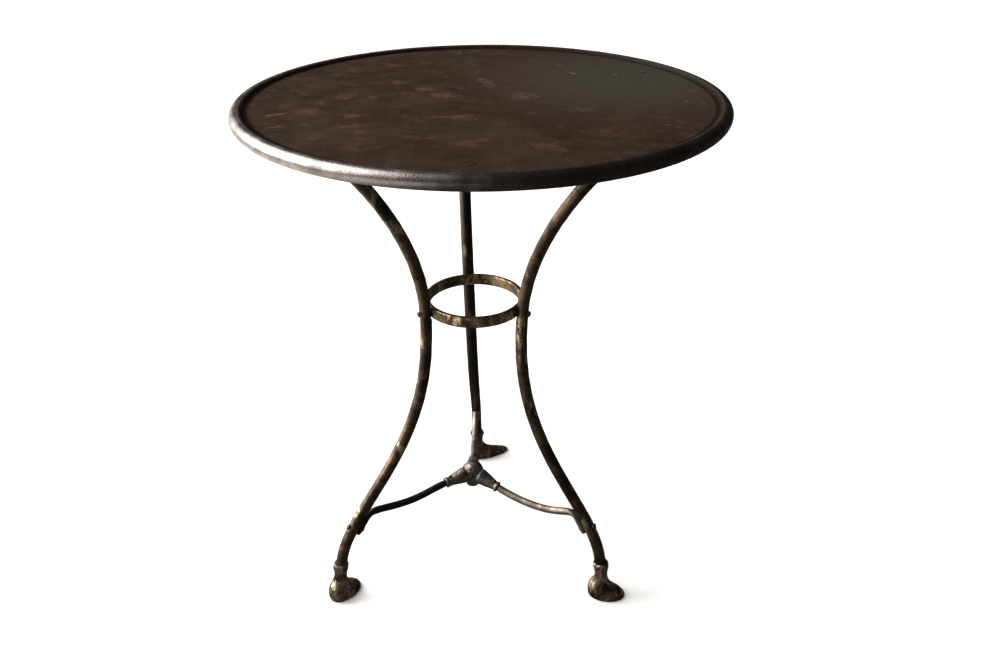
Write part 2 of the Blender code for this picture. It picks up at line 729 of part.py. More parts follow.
def foot_rings(place_name):
    """The foot's sections from the socket's rim down to its sole, drawn with +X as the leg's direction."""
    toe_direction, toe_reach, heel_reach, widest = FEET[place_name]
    turn = math.radians(toe_direction - LEG_DIRECTIONS[place_name])
    toe = Vector((math.cos(turn), math.sin(turn), 0.0))
    side = Vector((-toe.y, toe.x, 0.0))
    lean = math.radians(ANKLE_LEAN)
    rim = ANKLE_HEIGHT - GAP / math.cos(lean)
    socket = FOOT_SOCKET_RADIUS
    neck = FOOT_NECK_RADIUS
    sections = [
        (rim, FOOT_RIM_RADIUS, FOOT_RIM_RADIUS, FOOT_RIM_RADIUS, 0.5),
        (rim - socket * 0.2, socket, socket, socket, 1.0),
        (rim - socket * 0.8, socket, socket, socket, 1.0),
        (FOOT_NECK + (rim - FOOT_NECK) * 0.3, neck, neck, neck, 0.3),
        (FOOT_NECK, neck, neck, neck, 0.0),
    ]
    for height, toe_share, heel_share, width_share in FOOT_SECTIONS:
        forward = neck + (toe_reach - neck) * toe_share
        back = neck + (heel_reach - neck) * heel_share
        sections.append((height, forward, back, neck + (widest - neck) * width_share, 0.0))
    rings = []
    for height, forward, back, half_width, outwards in sections:
        middle = in_space(foot_axis(max(height, FOOT_NECK))) + toe * ((forward - back) / 2)
        middle.x += FOOT_SOCKET_SHIFT * outwards
        middle.z = height
        slope = math.tan(lean) * max(0.0, (height - FOOT_NECK) / (rim - FOOT_NECK))
        ring = []
        for index in range(FOOT_SIDES):
            angle = 2 * math.pi * index / FOOT_SIDES
            reach = toe * ((forward + back) / 2 * math.cos(angle)) + side * (half_width * math.sin(angle))
            reach.z = reach.x * slope
            ring.append(middle + reach)
        rings.append(ring)
    return rings


def build_feet():
    for place_name, direction in LEG_DIRECTIONS.items():
        shape = bmesh.new()
        add_loft(shape, leaned(foot_rings(place_name), place_name))
        foot = place("foot_" + place_name, mesh_from(shape, "foot_" + place_name), CAST_IRON, direction)
        combine(foot, "bore", foot_bore(place_name), direction)
        pin_hole = bmesh.new()
        add_foot_pin_hole(pin_hole, place_name)
        combine(foot, "pin", mesh_from(pin_hole, "foot_pin_hole_" + place_name), direction)


# ---------------------------------------------------------------- rivets and pins
def fastener(name, start, end, direction, shank, head, head_height, countersunk=False):
    """A rivet or pin from start to end, with a domed head outside each, or one countersunk at the end."""
    length = (end - start).length
    dome = head_height * 0.75
    profile = [(0.0, length)]
    if countersunk:
        profile += [(COUNTERSINK_DIAMETER / 2, length), (shank, length - COUNTERSINK_DEPTH)]
    else:
        profile = [(0.0, length + head_height), (head * 0.6, length + dome), (head, length), (shank, length)]
    profile += [(shank, 0.0), (head, 0.0), (head * 0.6, -dome), (0.0, -head_height)]
    piece = place(name, turned(profile, RIVET_SIDES, name), RIVET_IRON)
    turn = Matrix.Rotation(math.radians(direction), 4, "Z")
    aim = (end - start).to_track_quat("Z", "X").to_matrix().to_4x4()
    matrix = turn @ Matrix.Translation(start) @ aim
    piece.location = matrix.to_translation()
    piece.rotation_euler = matrix.to_euler()
    return piece


def build_fasteners():
    shank = RIVET_DIAMETER / 2
    head = RIVET_HEAD_DIAMETER / 2
    pin = PIN_DIAMETER / 2
    up = Vector((0, 0, 1))
    for place_name, direction in LEG_DIRECTIONS.items():
        shift = leg_shift(place_name, PAD_MIDDLE)
        for label, radius in zip(("inner", "outer"), PAD_RIVETS):
            start = Vector((radius, 0, PAD_TOP - PAD_THICKNESS - GAP)) + shift
            end = start + up * (FIELD_HEIGHT - start.z)
            name = f"top_rivet_{place_name}_{label}"
            fastener(name, start, end, direction, shank, head, RIVET_HEAD_HEIGHT, countersunk=True)
        start = Vector((STIFFENER_RADIUS, 0, STIFFENER_BOTTOM - GAP))
        end = start + up * (FIELD_HEIGHT - start.z)
        name = "ring_rivet_after_" + place_name
        rivet = fastener(name, start, end, direction + 60.0, shank, head, RIVET_HEAD_HEIGHT, countersunk=True)
        rivet.location += base_shift(PAD_MIDDLE)

        dish = COLLAR_INNER - math.sqrt(COLLAR_INNER**2 - head**2)
        start = Vector((COLLAR_INNER - dish - GAP, 0, COLLAR_HEIGHT))
        end = Vector((collar_leg_middle(place_name).length + LEG_RADIUS + GAP * 3, 0, COLLAR_HEIGHT))
        turn = direction + collar_rivet_turn(place_name)
        rivet = fastener("collar_rivet_" + place_name, start, end, turn, shank, head, RIVET_HEAD_HEIGHT)
        rivet.location += base_shift(COLLAR_HEIGHT)

        outside, inwards = arm_rivet_line()
        shift = leg_shift(place_name, outside.y)
        start = in_space(outside + inwards * (LEG_DIAMETER + ARM_TAB_THICKNESS + GAP * 3)) + shift
        end = in_space(outside - inwards * GAP) + shift
        fastener("arm_rivet_" + place_name, start, end, direction, shank, head, RIVET_HEAD_HEIGHT)

        widest = socket_radius(SOCKET_REACH - ARM_TENON_LENGTH / 2 - pin * PIN_HEAD)
        start, end = hub_pin_ends(place_name, widest + GAP)
        fastener("hub_pin_" + place_name, start, end, direction, pin, pin * PIN_HEAD, PIN_HEAD_HEIGHT)

        middle = foot_pin_middle(place_name)
        reach = Vector((0, FOOT_SOCKET_RADIUS + GAP, 0))
        start, end = middle - reach, middle + reach
        fastener("foot_pin_" + place_name, start, end, direction, pin, pin * PIN_HEAD, PIN_HEAD_HEIGHT)


clear_scene()
SHEET_IRON = make_material("sheet_iron", (0.050, 0.036, 0.028), 0.42, 0.85)
IRON_BAR = make_material("iron_bar", (0.035, 0.026, 0.020), 0.45, 0.85)
CAST_IRON = make_material("cast_iron", (0.055, 0.042, 0.032), 0.55, 0.80)
RIVET_IRON = make_material("rivet_iron", (0.070, 0.045, 0.030), 0.50, 0.80)
TABLE = bpy.data.objects.new("table", None)
BASE = bpy.data.objects.new("base", None)
bpy.context.scene.collection.objects.link(TABLE)
bpy.context.scene.collection.objects.link(BASE)
BASE.parent = TABLE
BASE.location.x = BASE_OFFSET
build_top()
build_legs()
build_collar()
build_hub()
build_arms()
build_feet()
build_fasteners()
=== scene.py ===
# %% [markdown]
# A round iron bistro table, as a blacksmith and a tinsmith make it between them. The frame comes first: every
# piece of the exact model is loaded where it belongs. What follows gives each piece its real surface, without
# moving anything, so all places are measured from the loaded pieces. Units are metres and up is +Z.

# %% load the exact pieces
import math

import bmesh
import bpy
import numpy as np
from mathutils import Matrix, Vector


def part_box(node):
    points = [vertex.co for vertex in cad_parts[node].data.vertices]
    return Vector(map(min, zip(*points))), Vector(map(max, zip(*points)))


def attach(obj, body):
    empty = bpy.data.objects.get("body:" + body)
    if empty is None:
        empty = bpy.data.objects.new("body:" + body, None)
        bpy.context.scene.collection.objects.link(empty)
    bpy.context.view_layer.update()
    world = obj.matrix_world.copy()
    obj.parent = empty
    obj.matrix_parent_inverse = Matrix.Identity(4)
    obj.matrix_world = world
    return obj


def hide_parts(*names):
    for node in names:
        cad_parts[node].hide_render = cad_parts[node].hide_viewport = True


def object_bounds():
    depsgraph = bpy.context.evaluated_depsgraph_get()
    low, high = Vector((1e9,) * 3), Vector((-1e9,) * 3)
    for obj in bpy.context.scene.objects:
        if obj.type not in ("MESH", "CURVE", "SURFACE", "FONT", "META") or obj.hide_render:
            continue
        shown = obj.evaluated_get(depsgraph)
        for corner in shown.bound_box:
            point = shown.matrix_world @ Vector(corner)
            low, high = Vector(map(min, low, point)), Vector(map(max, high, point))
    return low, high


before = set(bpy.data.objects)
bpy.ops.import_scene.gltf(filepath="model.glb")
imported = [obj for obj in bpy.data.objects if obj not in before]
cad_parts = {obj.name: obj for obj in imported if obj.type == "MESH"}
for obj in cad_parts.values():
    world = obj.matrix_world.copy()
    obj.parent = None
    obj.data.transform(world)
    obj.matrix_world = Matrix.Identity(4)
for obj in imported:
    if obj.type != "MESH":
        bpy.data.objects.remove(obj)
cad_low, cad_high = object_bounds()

PLACES = ("rear", "front_left", "front_right")
print("pieces:", len(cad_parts), "size:", [round(side, 4) for side in cad_high - cad_low])

# %% [markdown]
# The camera stands a little higher than the table and looks down on it, so that the top shows as an ellipse and
# all three feet show. A camera looks along its own -Z, so its matrix is made from the way it looks, turned a
# little about that line. This is surer than aiming it with a constraint.

# %% camera
CAMERA_PLACE = Vector((0.0, -1.0808, 0.9933))
CAMERA_DOWN = math.radians(28.85)
CAMERA_ASIDE = math.radians(1.11)
CAMERA_ROLL = math.radians(-0.21)
CAMERA_LENS = 31.88


def aimed_camera():
    forward = Vector((math.sin(CAMERA_ASIDE), math.cos(CAMERA_ASIDE), 0.0)) * math.cos(CAMERA_DOWN)
    forward.z = -math.sin(CAMERA_DOWN)
    level = Vector((math.cos(CAMERA_ASIDE), -math.sin(CAMERA_ASIDE), 0.0))
    upright = level.cross(forward)
    side = level * math.cos(CAMERA_ROLL) + upright * math.sin(CAMERA_ROLL)
    top = upright * math.cos(CAMERA_ROLL) - level * math.sin(CAMERA_ROLL)
    turn = Matrix((side, top, -forward)).transposed().to_4x4()
    camera = bpy.data.objects.new("camera", bpy.data.cameras.new("camera"))
    camera.data.lens = CAMERA_LENS
    camera.matrix_world = Matrix.Translation(CAMERA_PLACE) @ turn
    bpy.context.scene.collection.objects.link(camera)
    return camera


bpy.context.scene.camera = aimed_camera()
print("camera at", tuple(CAMERA_PLACE))

# %% [markdown]
# Every finish below is a net of shader nodes. Two small helpers keep the nets readable: one adds a node and
# sets or links its sockets in one call, and one does sums. Working in code like this makes a net that can be
# changed by its numbers, which is why it is used rather than nets drawn by hand.


# %% node helpers
def add_node(tree, kind, links=None, **settings):
    """A new node; links maps its input sockets to values or to other nodes' output sockets."""
    node = tree.nodes.new(kind)
    for name, value in settings.items():
        setattr(node, name, value)
    for socket, value in (links or {}).items():
        if isinstance(value, bpy.types.NodeSocket):
            tree.links.new(value, node.inputs[socket])
        else:
            node.inputs[socket].default_value = value
    return node


def sums(tree, operation, first, second=0.0, third=0.0):
    """The output socket of one Math node."""
    return add_node(tree, "ShaderNodeMath", {0: first, 1: second, 2: third}, operation=operation).outputs[0]


def vectors(tree, operation, first, second=(0.0, 0.0, 0.0)):
    """The output node of one Vector Math node."""
    return add_node(tree, "ShaderNodeVectorMath", {0: first, 1: second}, operation=operation)


def ramp(tree, value, low, high, to_low=0.0, to_high=1.0):
    """A soft step from to_low to to_high as the value goes from low to high."""
    links = {"Value": value, "From Min": low, "From Max": high, "To Min": to_low, "To Max": to_high}
    return add_node(tree, "ShaderNodeMapRange", links, interpolation_type="SMOOTHSTEP").outputs["Result"]


def mixed(tree, share, first, second):
    """A colour between two others."""
    return add_node(tree, "ShaderNodeMix", {0: share, 6: first, 7: second}, data_type="RGBA").outputs[2]


def new_group(kind, name, inputs, outputs):
    """A node group with named sockets; returns it with its input node and output node."""
    group = bpy.data.node_groups.new(name, kind)
    for label, socket_type, value in inputs:
        socket = group.interface.new_socket(label, in_out="INPUT", socket_type="NodeSocket" + socket_type)
        if value is not None:
            socket.default_value = value
    for label, socket_type in outputs:
        group.interface.new_socket(label, in_out="OUTPUT", socket_type="NodeSocket" + socket_type)
    return group, group.nodes.new("NodeGroupInput"), group.nodes.new("NodeGroupOutput")


# %% [markdown]
# Old iron isn't one colour. Brown oxide clouds drift over it, rust starts in specks, wax fills its pits, and
# hands rub it bare in streaks. Each of these effects serves several finishes, so each one is a shader node group
# with named sizes: a mask of soft patches, a mask of specks, a mask of fine scratches, and the relief of a skin
# that was hammered hot and has pitted since.


# %% group: soft patches
def make_patches():
    sockets = [
        ("Vector", "Vector", None), ("Size", "Float", 0.05), ("Low", "Float", 0.45), ("High", "Float", 0.6),
    ]
    group, given, result = new_group("ShaderNodeTree", "soft_patches", sockets, [("Mask", "Float")])
    scale = sums(group, "DIVIDE", 1.0, given.outputs["Size"])
    links = {"Vector": given.outputs["Vector"], "Scale": scale, "Detail": 5.0, "Roughness": 0.62}
    noise = add_node(group, "ShaderNodeTexNoise", {**links, "Distortion": 0.4})
    mask = ramp(group, noise.outputs[0], given.outputs["Low"], given.outputs["High"])
    group.links.new(mask, result.inputs["Mask"])
    return group


PATCHES = make_patches()


# %% group: rust specks
def make_specks():
    sockets = [("Vector", "Vector", None), ("Size", "Float", 0.006), ("Share", "Float", 0.2)]
    group, given, result = new_group("ShaderNodeTree", "rust_specks", sockets, [("Mask", "Float")])
    vector = given.outputs["Vector"]
    wobble = add_node(group, "ShaderNodeTexNoise", {"Vector": vector, "Scale": 260.0, "Detail": 2.0})
    strayed = vectors(group, "SCALE", wobble.outputs["Color"])
    strayed.inputs["Scale"].default_value = 0.004
    place = vectors(group, "ADD", vector, strayed.outputs[0])
    scale = sums(group, "DIVIDE", 1.0, given.outputs["Size"])
    cells = add_node(group, "ShaderNodeTexVoronoi", {"Vector": place.outputs[0], "Scale": scale})
    chosen = add_node(group, "ShaderNodeSeparateColor", {"Color": cells.outputs["Color"]}).outputs["Red"]
    shown = sums(group, "LESS_THAN", chosen, given.outputs["Share"])
    spot = ramp(group, cells.outputs["Distance"], 0.16, 0.42, 1.0, 0.0)
    group.links.new(sums(group, "MULTIPLY", shown, spot), result.inputs["Mask"])
    return group


SPECKS = make_specks()


# %% group: fine scratches
def make_scratches():
    sockets = [
        ("Vector", "Vector", None), ("Length", "Float", 0.04), ("Width", "Float", 0.0006), ("Turn", "Float", 0.5),
    ]
    group, given, result = new_group("ShaderNodeTree", "fine_scratches", sockets, [("Mask", "Float")])
    vector = given.outputs["Vector"]
    turned = add_node(group, "ShaderNodeVectorRotate", {"Vector": vector, "Angle": given.outputs["Turn"]})
    along = sums(group, "DIVIDE", 1.0, given.outputs["Length"])
    across = sums(group, "DIVIDE", 1.0, given.outputs["Width"])
    stretch = add_node(group, "ShaderNodeCombineXYZ", {"X": along, "Y": across, "Z": along}).outputs[0]
    place = vectors(group, "MULTIPLY", turned.outputs[0], stretch)
    lines = add_node(group, "ShaderNodeTexNoise", {"Vector": place.outputs[0], "Scale": 1.0, "Detail": 1.0})
    fine = ramp(group, lines.outputs[0], 0.66, 0.74)
    patches = add_node(group, "ShaderNodeTexNoise", {"Vector": vector, "Scale": 14.0, "Detail": 2.0})
    where = ramp(group, patches.outputs[0], 0.52, 0.66)
    group.links.new(sums(group, "MULTIPLY", fine, where), result.inputs["Mask"])
    return group


SCRATCHES = make_scratches()


# %% group: hammered and pitted skin
def make_skin():
    sockets = [("Vector", "Vector", None), ("Blow Size", "Float", 0.012), ("Pit Size", "Float", 0.0012)]
    outputs = [("Height", "Float"), ("Pits", "Float")]
    group, given, result = new_group("ShaderNodeTree", "iron_skin", sockets, outputs)
    vector = given.outputs["Vector"]
    blow_scale = sums(group, "DIVIDE", 1.0, given.outputs["Blow Size"])
    blow_links = {"Vector": vector, "Scale": blow_scale, "Smoothness": 0.8}
    blows = add_node(group, "ShaderNodeTexVoronoi", blow_links, feature="SMOOTH_F1")
    pit_scale = sums(group, "DIVIDE", 1.0, given.outputs["Pit Size"])
    grain = add_node(group, "ShaderNodeTexNoise", {"Vector": vector, "Scale": pit_scale, "Detail": 3.0})
    pits = ramp(group, grain.outputs[0], 0.34, 0.5, 1.0, 0.0)
    raised = sums(group, "MULTIPLY", blows.outputs["Distance"], 0.55)
    height = sums(group, "SUBTRACT", raised, sums(group, "MULTIPLY", pits, 0.3))
    height = sums(group, "ADD", height, sums(group, "MULTIPLY", grain.outputs[0], 0.25))
    group.links.new(height, result.inputs["Height"])
    group.links.new(pits, result.inputs["Pits"])
    return group


SKIN = make_skin()
print("groups:", PATCHES.name, SPECKS.name, SCRATCHES.name, SKIN.name)

# %% [markdown]
# A finish starts as a dark coat of oxide. Over it go browner clouds, bare streaks that catch a warm light, rust,
# and dirt in the pits. The bar iron of the legs, the cast feet and hub, and the rivets are built the same way
# with different numbers, as the same weather made them all. The rear leg and one arm stayed dark, and two arms
# are worn pale. Layers are mixed colours, because the surface is one skin, and not a stack of paints.


# %% the iron finish
def use(tree, group, **values):
    """A group placed in a material, with its own values."""
    links = {name.replace("_", " "): value for name, value in values.items()}
    node = add_node(tree, "ShaderNodeGroup", node_tree=group)
    for socket, value in links.items():
        if isinstance(value, bpy.types.NodeSocket):
            tree.links.new(value, node.inputs[socket])
        else:
            node.inputs[socket].default_value = value
    return node


def start_material(name):
    material = bpy.data.materials.new(name)
    material.use_nodes = True
    tree = material.node_tree
    place = add_node(tree, "ShaderNodeTexCoord").outputs["Object"]
    return material, tree, tree.nodes["Principled BSDF"], place


def iron_finish(name, oxide, cloud, bare, rust, cloud_size, bare_share, gloss, blow_size, relief):
    """Oxidised iron; bare_share from 0 to 1 is how much of it is rubbed bright."""
    material, tree, shader, place = start_material(name)
    clouds = use(tree, PATCHES, Vector=place, Size=cloud_size, Low=0.40, High=0.62).outputs["Mask"]
    streaks = vectors(tree, "MULTIPLY", place, (1.0, 1.0, 0.35)).outputs[0]
    edge = 0.66 - 0.22 * bare_share
    bare_size = cloud_size * 0.45
    rubbed = use(tree, PATCHES, Vector=streaks, Size=bare_size, Low=edge, High=edge + 0.14).outputs["Mask"]
    specks = use(tree, SPECKS, Vector=place, Size=0.0055, Share=0.16).outputs["Mask"]
    skin = use(tree, SKIN, Vector=place, Blow_Size=blow_size, Pit_Size=0.0014)
    colour = mixed(tree, clouds, oxide, cloud)
    colour = mixed(tree, sums(tree, "MULTIPLY", rubbed, 0.75), colour, bare)
    colour = mixed(tree, sums(tree, "MULTIPLY", specks, 0.6), colour, rust)
    dirt = [part * 0.35 for part in oxide[:3]] + [1.0]
    colour = mixed(tree, sums(tree, "MULTIPLY", skin.outputs["Pits"], 0.7), colour, dirt)
    tree.links.new(colour, shader.inputs["Base Color"])
    rough = sums(tree, "ADD", gloss, sums(tree, "MULTIPLY", clouds, 0.12))
    rough = sums(tree, "SUBTRACT", rough, sums(tree, "MULTIPLY", rubbed, 0.10))
    rough = sums(tree, "ADD", rough, sums(tree, "MULTIPLY", specks, 0.25))
    tree.links.new(rough, shader.inputs["Roughness"])
    metal = sums(tree, "MULTIPLY", sums(tree, "MAXIMUM", clouds, rubbed), 0.25)
    tree.links.new(sums(tree, "ADD", metal, 0.70), shader.inputs["Metallic"])
    shader.inputs["Specular IOR Level"].default_value = 0.50
    bump_links = {"Height": skin.outputs["Height"], "Strength": 0.6, "Distance": relief}
    bump = add_node(tree, "ShaderNodeBump", bump_links)
    tree.links.new(bump.outputs[0], shader.inputs["Normal"])
    return material


BAR_IRON = iron_finish(
    "bar_iron", (0.017, 0.010, 0.005, 1), (0.120, 0.083, 0.050, 1),
    (0.68, 0.54, 0.38, 1), (0.085, 0.036, 0.014, 1),
    cloud_size=0.040, bare_share=0.50, gloss=0.29, blow_size=0.013, relief=0.0006,
)
DARK_IRON = iron_finish(
    "dark_iron", (0.012, 0.008, 0.005, 1), (0.042, 0.029, 0.018, 1),
    (0.30, 0.22, 0.14, 1), (0.06, 0.026, 0.011, 1),
    cloud_size=0.035, bare_share=0.25, gloss=0.34, blow_size=0.013, relief=0.0005,
)
WORN_IRON = iron_finish(
    "worn_iron", (0.120, 0.096, 0.078, 1), (0.270, 0.224, 0.182, 1),
    (0.58, 0.50, 0.41, 1), (0.12, 0.065, 0.03, 1),
    cloud_size=0.030, bare_share=0.60, gloss=0.40, blow_size=0.011, relief=0.0005,
)
COLLAR_IRON = iron_finish(
    "collar_iron", (0.036, 0.021, 0.009, 1), (0.240, 0.170, 0.095, 1),
    (0.80, 0.65, 0.43, 1), (0.11, 0.05, 0.018, 1),
    cloud_size=0.030, bare_share=0.70, gloss=0.30, blow_size=0.010, relief=0.0004,
)
CAST_IRON = iron_finish(
    "cast_iron", (0.026, 0.014, 0.008, 1), (0.240, 0.168, 0.110, 1),
    (0.78, 0.62, 0.45, 1), (0.11, 0.05, 0.020, 1),
    cloud_size=0.020, bare_share=0.75, gloss=0.36, blow_size=0.007, relief=0.0005,
)
HUB_IRON = iron_finish(
    "hub_iron", (0.046, 0.035, 0.029, 1), (0.230, 0.195, 0.172, 1),
    (0.42, 0.36, 0.31, 1), (0.12, 0.055, 0.026, 1),
    cloud_size=0.018, bare_share=0.45, gloss=0.40, blow_size=0.007, relief=0.0005,
)
RIVET_IRON = iron_finish(
    "rivet_iron", (0.035, 0.022, 0.012, 1), (0.13, 0.085, 0.048, 1),
    (0.50, 0.36, 0.21, 1), (0.20, 0.075, 0.024, 1),
    cloud_size=0.010, bare_share=0.65, gloss=0.36, blow_size=0.004, relief=0.0003,
)

# %% [markdown]
# The top is where the table lived. Its brown patina is warm on one side, with a grey sheen of reflected light
# painted in towards the back right, and shows tan bruises, pale scrapes, and rust over the rivets. Chance makes
# the patches, but a few marks are this table's own, so a group draws one worn mark at a given place, turned and
# sized. The dark line where the flat meets the rolled edge, dirt and painted shade, is a band at one distance
# from the middle, since that edge is a circle. The edge is dark iron with rubbed wear and a painted highlight on
# the left.


# %% group: one worn mark
def make_mark():
    sockets = [
        ("Vector", "Vector", None), ("Place", "Vector", (0.0, 0.0, 0.0)), ("Turn", "Float", 0.0),
        ("Length", "Float", 0.02), ("Width", "Float", 0.004),
    ]
    group, given, result = new_group("ShaderNodeTree", "worn_mark", sockets, [("Mask", "Float")])
    away = vectors(group, "SUBTRACT", given.outputs["Vector"], given.outputs["Place"]).outputs[0]
    back = sums(group, "MULTIPLY", given.outputs["Turn"], -1.0)
    turned = add_node(group, "ShaderNodeVectorRotate", {"Vector": away, "Angle": back}).outputs[0]
    parts = add_node(group, "ShaderNodeSeparateXYZ", {0: turned})
    along = sums(group, "DIVIDE", parts.outputs["X"], given.outputs["Length"])
    across = sums(group, "DIVIDE", parts.outputs["Y"], given.outputs["Width"])
    along, across = sums(group, "MULTIPLY", along, along), sums(group, "MULTIPLY", across, across)
    distance = sums(group, "ADD", along, across)
    ragged_links = {"Vector": given.outputs["Vector"], "Scale": 95.0, "Detail": 6.0}
    ragged = add_node(group, "ShaderNodeTexNoise", ragged_links)
    distance = sums(group, "ADD", distance, ramp(group, ragged.outputs[0], 0.30, 0.70, 0.0, 0.8))
    group.links.new(ramp(group, distance, 0.2, 1.1, 1.0, 0.0), result.inputs["Mask"])
    return group


MARK = make_mark()

# %% [markdown]
# The rivets over the legs bleed rust through the sheet. Their places come from the loaded rivets, so the stains
# sit where the metal is joined.

# %% where the marks are
PALE, TAN, ORANGE = (0.19, 0.16, 0.13, 1), (0.105, 0.061, 0.039, 1), (0.150, 0.085, 0.045, 1)
# place on the top, turn in degrees, half length, half width, colour, strength
MARKS = [
    ((0.108, 0.170), -52, 0.020, 0.0012, PALE, 0.8),
    ((0.122, 0.120), -50, 0.011, 0.0022, PALE, 0.9),
    ((0.178, 0.108), -45, 0.010, 0.0016, PALE, 0.6),
    ((0.260, 0.020), 20, 0.012, 0.0050, TAN, 0.68),
    ((0.246, -0.028), 0, 0.0045, 0.0045, ORANGE, 0.9),
    ((-0.048, 0.010), -10, 0.026, 0.016, TAN, 0.56),
    ((-0.072, 0.040), 5, 0.020, 0.013, TAN, 0.45),
    ((0.006, 0.072), -75, 0.042, 0.012, TAN, 0.52),
    ((0.050, 0.004), 10, 0.030, 0.032, TAN, 0.41),
    ((-0.205, -0.060), 0, 0.024, 0.022, TAN, 0.45),
    ((-0.150, -0.078), 0, 0.014, 0.012, TAN, 0.41),
    ((-0.238, -0.072), 30, 0.016, 0.007, ORANGE, 0.60),
    ((-0.168, 0.004), 0, 0.016, 0.014, TAN, 0.34),
    ((-0.036, -0.086), 5, 0.042, 0.009, TAN, 0.41),
    ((-0.140, -0.120), 10, 0.030, 0.010, TAN, 0.26),
    ((-0.110, 0.075), 0, 0.020, 0.015, TAN, 0.3),
    ((0.118, -0.060), 0, 0.020, 0.012, TAN, 0.26),
    ((-0.010, -0.178), 0, 0.030, 0.008, TAN, 0.26),
]
for place_name in PLACES:
    for side in ("inner", "outer"):
        low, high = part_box(f"top_rivet_{place_name}_{side}")
        MARKS.append((((low.x + high.x) / 2, (low.y + high.y) / 2), 0, 0.0070, 0.0060, ORANGE, 0.30))
print("marks on the top:", len(MARKS))


# %% the finish of the sheet top
SHEET_LOW, SHEET_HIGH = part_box("top_sheet")
RIM_RADIUS = min(SHEET_HIGH.x, SHEET_HIGH.y)
BEAD_WIDTH = 0.0175
GROOVE = (RIM_RADIUS - BEAD_WIDTH - 0.006, RIM_RADIUS - BEAD_WIDTH + 0.005)


BROWN = (0.0235, 0.0122, 0.0083, 1)
LIGHT_BROWN = (0.0325, 0.0185, 0.0130, 1)
WAXED_BROWN = (0.044, 0.0275, 0.0200, 1)
# the grey of a painted sheen, reflected light painted in towards the back right, and the place it centres on
SHEEN_GREY = (0.0400, 0.0355, 0.0305, 1)
SHEEN_MIDDLE = (0.185, 0.085, 0.0)
BRUISE = (0.076, 0.044, 0.028, 1)
SCRATCH = (0.13, 0.105, 0.085, 1)
# dirt and painted shade for the groove, where the bead rises from the flat
GROOVE_DIRT_AND_SHADE = (0.003, 0.002, 0.0015, 1)
PIT_DIRT = (0.010, 0.007, 0.005, 1)
BEAD_DARK = (0.026, 0.018, 0.015, 1)
# worn bright iron, also the colour of the painted highlight on the bead's left side
BEAD_WEAR_AND_HIGHLIGHT = (0.270, 0.245, 0.240, 1)


